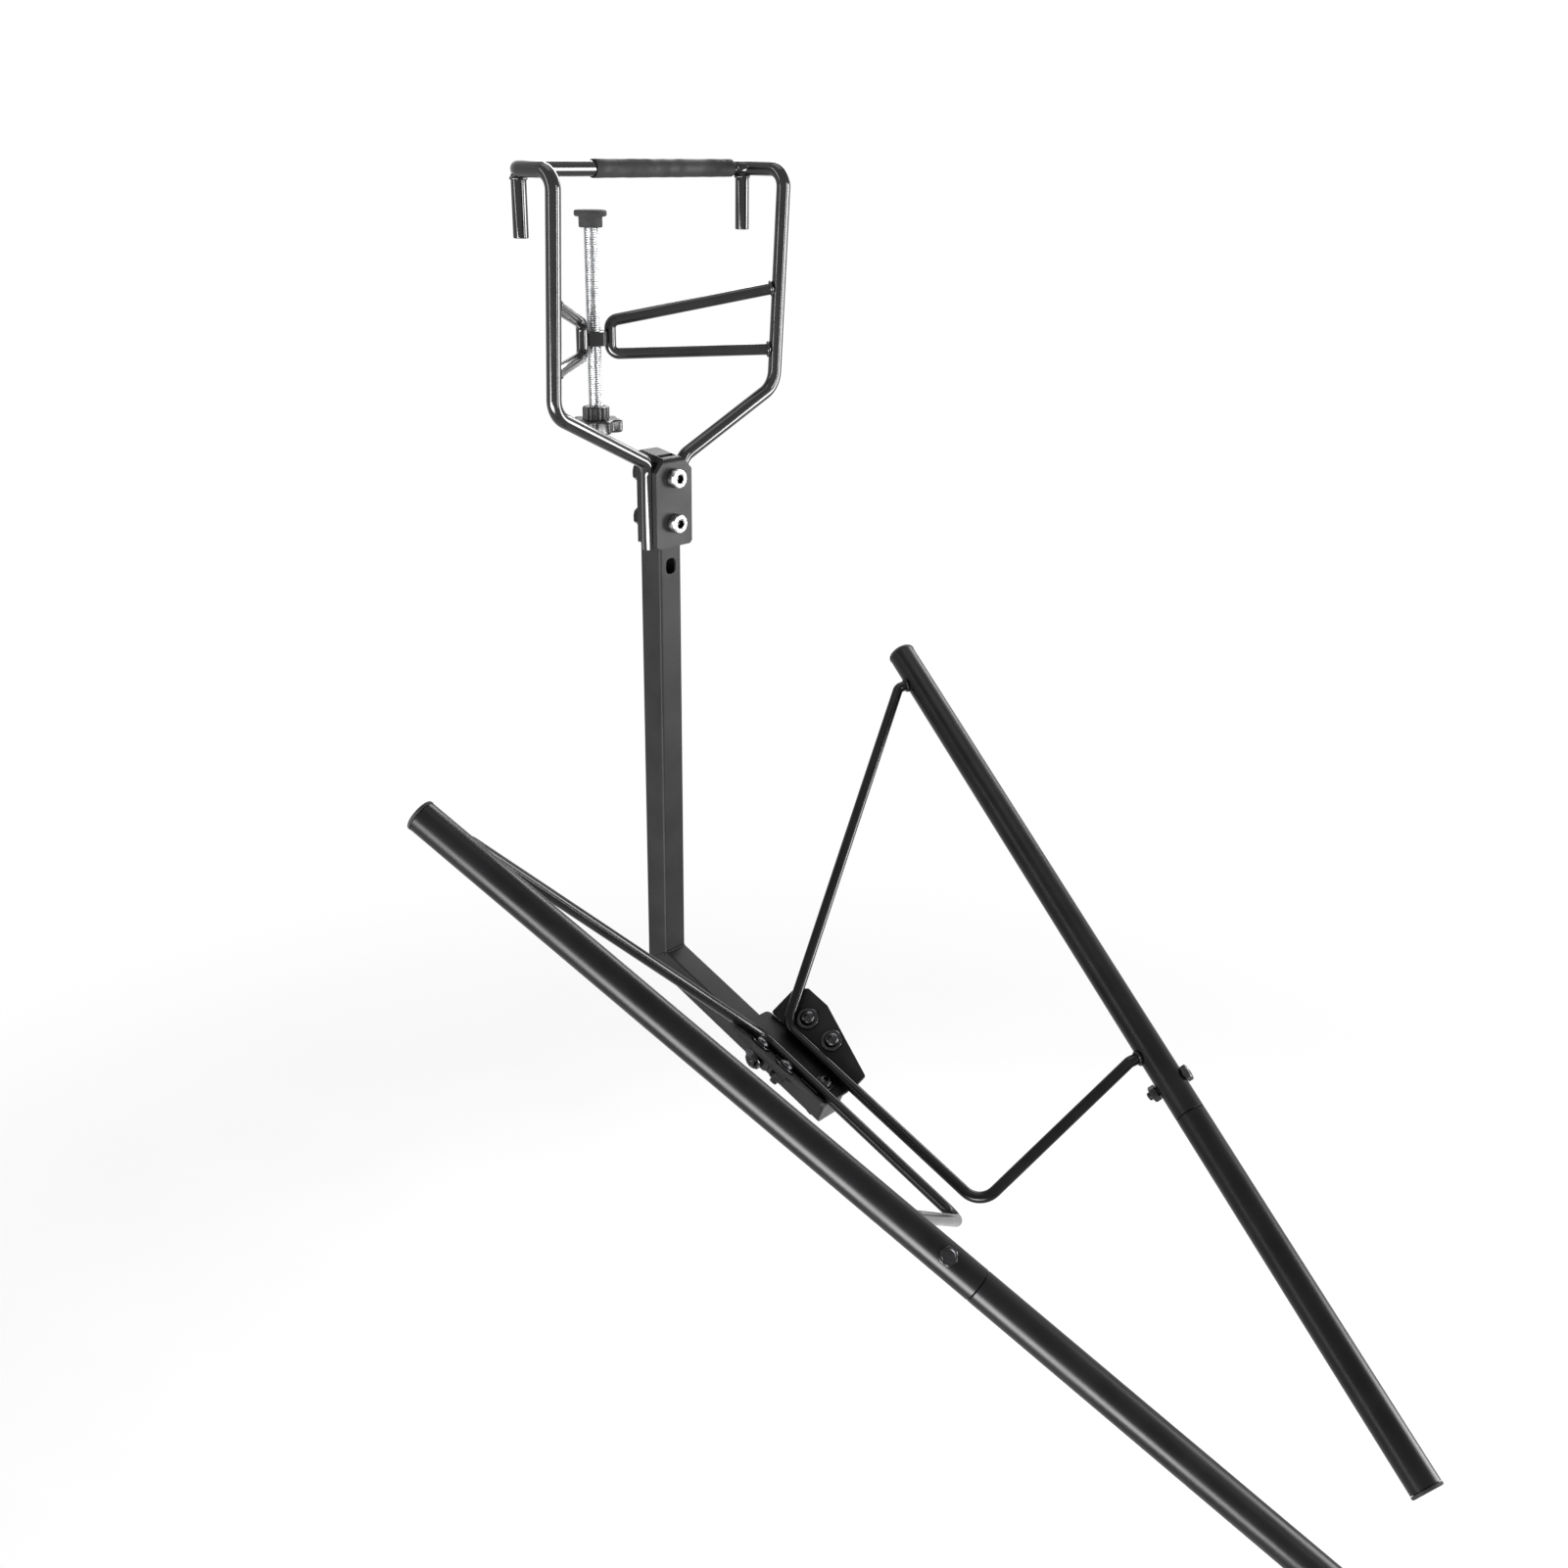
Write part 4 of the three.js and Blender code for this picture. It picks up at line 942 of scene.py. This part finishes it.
def railRows():
    outer, inner, edge, seam = (rails[k] for k in ("radius", "bore", "edge", "seam"))
    low = (railEnds(1)[1] - railEnds(1)[0]).length
    tip = seam - spigot["length"]
    shoulder = seam + spigot["gap"]
    upper = [(inner, edge), (inner + edge, 0), (outer - edge, 0), (outer, edge), (outer, seam - edge),
             (outer - edge, seam), (inner + edge, seam), (inner, seam - edge)]
    plug, bore, bevel = (spigot[k] for k in ("radius", "bore", "bevel"))
    lower = [(bore, tip), (plug - spigot["ease"], tip), (plug, tip + spigot["lead"]), (plug, shoulder),
             (outer - bevel, shoulder), (outer, shoulder + bevel), (outer, low - edge), (outer - edge, low),
             (inner + edge, low), (inner, low - edge), (inner, seam + spigot["widens"][1]),
             (bore, seam + spigot["widens"][0])]
    return upper, lower


# the profile of an end cap, its flange above its plug
capRows = [(0, 2.2), (7.7, 2.2), (8.1, 1.9), (8.7, 2.2), (9.9, 2.2), (10.4, 1.9), (10.7, 1.3), (10.7, 0.2),
           (10.5, 0), (8.7, 0), (8.7, -13.4), (8.3, -14), (7.2, -14), (7.2, 0), (0, 0)]
upperRows, lowerRows = railRows()
for label, side in (("Left", -1), ("Right", 1)):
    place = along(railEnds(side)[0] * mm, railWay(side))
    for part, rows in (("upper", upperRows), ("lower", lowerRows)):
        tube = turnedPiece(part + "Rail" + label, rows, place, rails["steps"])
        settle(tube, "railCoat", "turned", [part + "_rail_" + label.lower()])
capMesh = turnedMesh("railCap", capRows, rails["steps"])
caps = []
for side in (-1, 1):
    for end, way in zip(railEnds(side), (-railWay(side), railWay(side))):
        caps.append((capMesh, along((end + way * rails["capGap"]) * mm, way)))
capNodes = ["rail_cap_top_left", "rail_cap_top_right", "rail_cap_bottom_left", "rail_cap_bottom_right"]
settle(gather("railCaps", caps), "blackRubber", "turned", capNodes)

# hexagon sizes: width across the flats, heights, radii of shank and bore
smallHex = {"across": 10, "head": 4, "nut": 5, "shank": 2.9, "bore": 3.2}
largeHex = {"across": 13, "head": 5.3, "nut": 6.5, "shank": 3.9, "bore": 4.2}
railBoltSpots = []
railNutSpots = []
for side in (-1, 1):
    spot = railSpot(side, rails["seam"] - rails["boltBack"])
    out = railSide(side, rails["boltTilt"])
    railBoltSpots.append((spot + out * rails["boltSeat"], out, rails["boltTurn"]))
    railNutSpots.append((spot - out * rails["boltSeat"], -out, rails["nutTurn"]))
railBoltRows = hexBoltRows(smallHex, rails["boltLength"])
addSet("railBolts", railBoltRows, railBoltSpots, ["rail_bolt_left", "rail_bolt_right"])
addSet("railNuts", hexNutRows(smallHex), railNutSpots, ["rail_nut_left", "rail_nut_right"])
print("stage: rails made")

# side wires, with the same bends as the frame's
sideWire = {"radius": 4, "topRun": 28, "footRun": 378.7, "hook": 7, "meet": math.radians(16.5), "sunk": 0.8,
            "gap": 0.3, "lowStart": 107.8, "lowEnd": 298.1, "bend": 15, "hookBend": 6, "lift": 7.1,
            "weldIn": 1.3, "ring": 4.2, "bead": 1.3, "seed": 60}
saddle = {"top": 2.8, "half": 16}


def wireEnd(side, run):
    spot = railSpot(side, run)
    inward = -railSide(side, sideWire["meet"])
    return (spot + inward * (rails["radius"] - sideWire["sunk"]),
            spot + inward * (rails["radius"] + sideWire["gap"] + sideWire["hook"]))


def wireLow(angle):
    lift = sideWire["lift"]
    return saddle["half"] - lift * math.sin(angle), saddle["top"] + lift * math.cos(angle)


# the plates slope so that the wires, which lie on them, meet the rails' tops
def plateSlope():
    upper = armFrame.inverted() @ wireEnd(1, sideWire["topRun"])[1]
    angle = math.pi / 5  # a first guess, which twenty rounds settle
    for k in range(20):
        x, height = wireLow(angle)
        angle = math.atan2(upper.z - height, upper.x - x)
    return angle


slope = plateSlope()
lowX, lowHeight = wireLow(slope)
wireParts = []
wireBeads = []
for side in (-1, 1):
    tip, bend = wireEnd(side, sideWire["topRun"])
    footTip, footBend = wireEnd(side, sideWire["footRun"])
    start = fromArm(side * lowX, sideWire["lowStart"], lowHeight)
    end = fromArm(side * lowX, sideWire["lowEnd"], lowHeight)
    bends = [sideWire["hookBend"], sideWire["bend"], sideWire["bend"], sideWire["hookBend"]]
    path = [tip, bend, start, end, footBend, footTip]
    wireParts.append(roundBar("wire", path, bends, sideWire["radius"], "wireCoat"))
    inward = -railSide(side, sideWire["meet"])
    for point in (tip, footTip):
        centre = point + inward * sideWire["weldIn"]
        seed = sideWire["seed"] + len(wireBeads)
        wireBeads.append(ringBead(centre, inward, sideWire["ring"], sideWire["bead"], "wireCoat", seed))
settle(joinPieces("sideWires", wireParts), "wireCoat", "bar", ["side_wire_left", "side_wire_right"])


# places on the sloping plates: out from the fold, back along the arm, above the saddle's flange
def onPlate(side, out, run, height):
    fold = Matrix.Translation((side * saddle["half"], 0, saddle["top"]))
    return armFrame @ fold @ Matrix.Rotation(-side * slope, 4, "Y") @ Vector((side * out, -run, height))


def plateWay(side):
    return (onPlate(side, 0, 0, 1) - onPlate(side, 0, 0, 0)).normalized()


# welds beside the wires, where they lie on the plates
plateWeld = {"out": 2.6, "height": 3.7, "bead": 1.1, "runs": ((150, 166), (124, 138)), "seed": 70}
for side in (-1, 1):
    for runs in plateWeld["runs"]:
        ends = [onPlate(side, plateWeld["out"], run, plateWeld["height"]) for run in runs]
        seed = plateWeld["seed"] + len(wireBeads)
        wireBeads.append(weldBead(ends, plateWeld["bead"], "wireCoat", seed))
settle(joinPieces("wireWelds", wireBeads), "wireCoat", "weld")
print("stage: side wires made")

# fasteners of the chute plates and the arm
plateBolts = {"out": 14.5, "runs": (114.3, 139.3), "head": 4.8, "washer": 3.1, "nut": -2.8, "beyond": 7.5,
              "washerRadius": 8, "turns": (0.3, 0.8), "nutTurns": (0.2, 0.8)}
buttonHead = {"shank": 2.9, "head": 5.5, "height": 3.6, "socket": 4, "depth": 2, "arcSteps": 9,
              "arcWhole": 11}
washer = {"bore": 3.2, "thick": 1.4, "steps": 64}


def washerRows(outer):
    inner, thick = washer["bore"], washer["thick"]
    return [(inner, 0.15), (inner + 0.15, 0), (outer - 0.2, 0), (outer, 0.2), (outer, thick - 0.3),
            (outer - 0.3, thick), (inner + 0.15, thick), (inner, thick - 0.15)]


boltSpots = []
washerSpots = []
nutSpots = []
for side in (-1, 1):
    up = plateWay(side)
    for run, turn, nutTurn in zip(plateBolts["runs"], plateBolts["turns"], plateBolts["nutTurns"]):
        head, flat, nut = (onPlate(side, plateBolts["out"], run, plateBolts[seat])
                           for seat in ("head", "washer", "nut"))
        boltSpots.append((head, up, turn))
        washerSpots.append((flat, up, 0))
        nutSpots.append((nut, -up, nutTurn))
names = [side + "_" + str(k) for side in ("left", "right") for k in (1, 2)]
plateBoltRows = buttonBoltRows(buttonHead, plateBolts["head"] - plateBolts["nut"] + plateBolts["beyond"])
plateWasherRows = washerRows(plateBolts["washerRadius"])
addSet("plateBolts", plateBoltRows, boltSpots, ["plate_bolt_" + n for n in names])
addSet("plateWashers", plateWasherRows, washerSpots, ["plate_washer_" + n for n in names], washer["steps"])
addSet("plateNuts", hexNutRows(smallHex), nutSpots, ["plate_nut_" + n for n in names])

# base bolt through the arm's bracket, and cross bolt through the arm
armUp = (fromArm(0, 0, 1) - fromArm(0, 0, 0)).normalized()
base = {"run": 160, "head": 4.8, "washer": 3.1, "nut": -20.3, "length": 32.6, "washerRadius": 7,
        "turn": 0.3, "nutTurn": 0.2}
cross = {"run": 109, "out": 13.1, "height": -10, "length": 35.2, "turn": 0.2, "nutTurn": 0.1}
baseHead, baseFlat, baseNut = (fromArm(0, base["run"], base[seat]) for seat in ("head", "washer", "nut"))
crossHead, crossNut = (fromArm(side * cross["out"], cross["run"], cross["height"]) for side in (1, -1))
baseWasherRows = washerRows(base["washerRadius"])
baseBoltRows = buttonBoltRows(buttonHead, base["length"])
crossBoltRows = hexBoltRows(largeHex, cross["length"])
addSet("baseBolt", baseBoltRows, [(baseHead, armUp, base["turn"])], ["base_bolt"])
addSet("baseWasher", baseWasherRows, [(baseFlat, armUp, 0)], ["base_washer"], washer["steps"])
addSet("baseNut", hexNutRows(smallHex), [(baseNut, -armUp, base["nutTurn"])], ["base_nut"])
addSet("crossBolt", crossBoltRows, [(crossHead, (1, 0, 0), cross["turn"])], ["cross_bolt"])
addSet("crossNut", hexNutRows(largeHex), [(crossNut, (-1, 0, 0), cross["nutTurn"])], ["cross_nut"])
print("stage: fasteners made")

# places a lamp or the camera, which look along their own -Z
def addToScene(name, data, place, right, up, back):
    thing = bpy.data.objects.new(name, data)
    bpy.context.scene.collection.objects.link(thing)
    thing.matrix_world = Matrix.Translation(place) @ Matrix((right, up, back)).transposed().to_4x4()
    return thing


# camera at the photograph's angle
view = {"place": (-0.75502, -0.80178, 0.02152), "yaw": 47.66, "pitch": 21.5, "roll": 0.74, "focal": 1649.42,
        "frame": 1601.0, "shift": (4.85, -5.60), "sensor": 36.0, "clip": (0.01, 60.0)}


def makeCamera():
    yaw, pitch, roll = (math.radians(view[k]) for k in ("yaw", "pitch", "roll"))
    ahead = Vector((math.sin(yaw) * math.cos(pitch), math.cos(yaw) * math.cos(pitch), -math.sin(pitch)))
    right = Vector((math.cos(yaw), -math.sin(yaw), 0))
    up = right.cross(ahead)
    turnedRight = right * math.cos(roll) + up * math.sin(roll)
    turnedUp = up * math.cos(roll) - right * math.sin(roll)
    data = bpy.data.cameras.new("photoCamera")
    data.sensor_width = view["sensor"]
    data.lens = view["focal"] / view["frame"] * view["sensor"]
    data.shift_x = view["shift"][0] / view["frame"]
    data.shift_y = view["shift"][1] / view["frame"]
    data.clip_start, data.clip_end = view["clip"]
    bpy.context.scene.camera = addToScene("photoCamera", data, view["place"], turnedRight, turnedUp, -ahead)


makeCamera()

# floor, light and world
lamps = {
    "courtStrip": {"place": (0.45, -2.2, -0.2), "aim": (0, 0, -0.2), "size": (0.24, 1.6), "power": 9.0,
                   "beam": 80},
    "rightPanel": {"place": (1.35, -1.35, -0.3), "aim": (0, 0, -0.3), "size": (0.7, 1.1), "power": 19.0,
                   "beam": 90},
    "leftStrip": {"place": (-1.6, 0.45, 0.0), "aim": (0, 0, -0.2), "size": (0.2, 2.2), "power": 5.0,
                  "beam": 80, "lean": (0, 1.0, 1.3)},
    "lowStrip": {"place": (-0.84, -0.37, -0.73), "aim": (-0.18, -0.20, -0.43), "size": (0.42, 1.3),
                 "power": 13.0, "beam": 70, "lean": (-0.26, 0.81, 0.52)},
    "topPanel": {"place": (0.1, 0.2, 2.2), "aim": (0, -0.2, -0.4), "size": (1.6, 1.6), "power": 18.0,
                 "beam": 180},
    "backStrip": {"place": (1.2, 0.30, 0.40), "aim": (0, -0.3, -0.4), "size": (0.45, 1.6), "power": 7.0,
                  "beam": 80, "lean": (-0.26, 0.81, 0.52)},
}
stageValues = {"floorZ": -0.98, "reach": 9.0, "worldLight": 0.34, "glowNear": 0.55, "glowFrom": 0.25,
               "glowTo": 1.15}
floorFinish = {"specular": 0.2, "rough": 0.9, "toneScale": 7.0, "dark": (0.84,) * 3, "light": (0.87,) * 3}
white = (1, 1, 1, 1)


# a lamp's long side follows its lean, which is upright unless given
def makeLamps():
    for name, values in lamps.items():
        data = bpy.data.lights.new(name, "AREA")
        data.shape = "RECTANGLE"
        data.size, data.size_y = values["size"]
        data.energy = values["power"]
        data.spread = math.radians(values["beam"])
        back = (Vector(values["place"]) - Vector(values["aim"])).normalized()
        lean = Vector(values.get("lean", (0, 0.01, 1)))
        longWay = (lean - back * lean.dot(back)).normalized()
        lamp = addToScene(name, data, values["place"], longWay.cross(back), longWay, back)
        lamp.visible_camera = False


def seenDirect(board):
    path = board.put("ShaderNodeLightPath")
    seen = board.other(path, "Is Camera Ray")
    glossy = board.other(path, "Is Glossy Ray")
    through = board.other(path, "Is Transmission Ray")
    return seen.atLeast(glossy).atLeast(through)


def makeWorld():
    world = bpy.data.worlds.new("studio")
    bpy.context.scene.world = world
    world.use_nodes = True
    tree = world.node_tree
    tree.nodes.clear()
    board = Board(tree)
    strength = stageValues["worldLight"] + seenDirect(board) * (1.0 - stageValues["worldLight"])
    sky = board.put("ShaderNodeBackground", {}, {"Color": white, "Strength": strength})
    tree.links.new(sky.socket, tree.nodes.new("ShaderNodeOutputWorld").inputs["Surface"])


def makeFloor():
    reach = stageValues["reach"]
    mesh = bpy.data.meshes.new("floor")
    corners = [(-reach, -reach, 0), (reach, -reach, 0), (reach, reach, 0), (-reach, reach, 0)]
    mesh.from_pydata([(x, y, stageValues["floorZ"]) for x, y, z in corners], [], [(0, 1, 2, 3)])
    floor = linkMesh("floor", mesh)
    values = floorFinish
    material, board, place, node = newFinish("paleFloor", values["specular"])
    tone = noise(board, place, values["toneScale"]).spread(*toneSpan)
    feed(board, node, "Base Color", mixTint(board, tone, values["dark"], values["light"]))
    node.inputs["Roughness"].default_value = values["rough"]
    glow = board.put("ShaderNodeEmission", {}, {"Color": white, "Strength": 1.0})
    spot = board.put("ShaderNodeSeparateXYZ", {}, {0: place})
    y = board.other(spot, "Y")
    away = (spot * spot + y * y) ** 0.5
    glowing = away.spread(stageValues["glowFrom"], stageValues["glowTo"], stageValues["glowNear"])
    share = glowing * seenDirect(board)
    mixed = board.put("ShaderNodeMixShader", {}, {0: share, 1: Wire(board, node.outputs[0]), 2: glow})
    output = [n for n in board.tree.nodes if n.bl_idname == "ShaderNodeOutputMaterial"][0]
    board.tree.links.new(mixed.socket, output.inputs["Surface"])
    mesh.materials.append(material)


makeLamps()
makeWorld()
makeFloor()
bpy.context.scene.view_settings.view_transform = "Standard"
print("stage: camera, light and floor made")
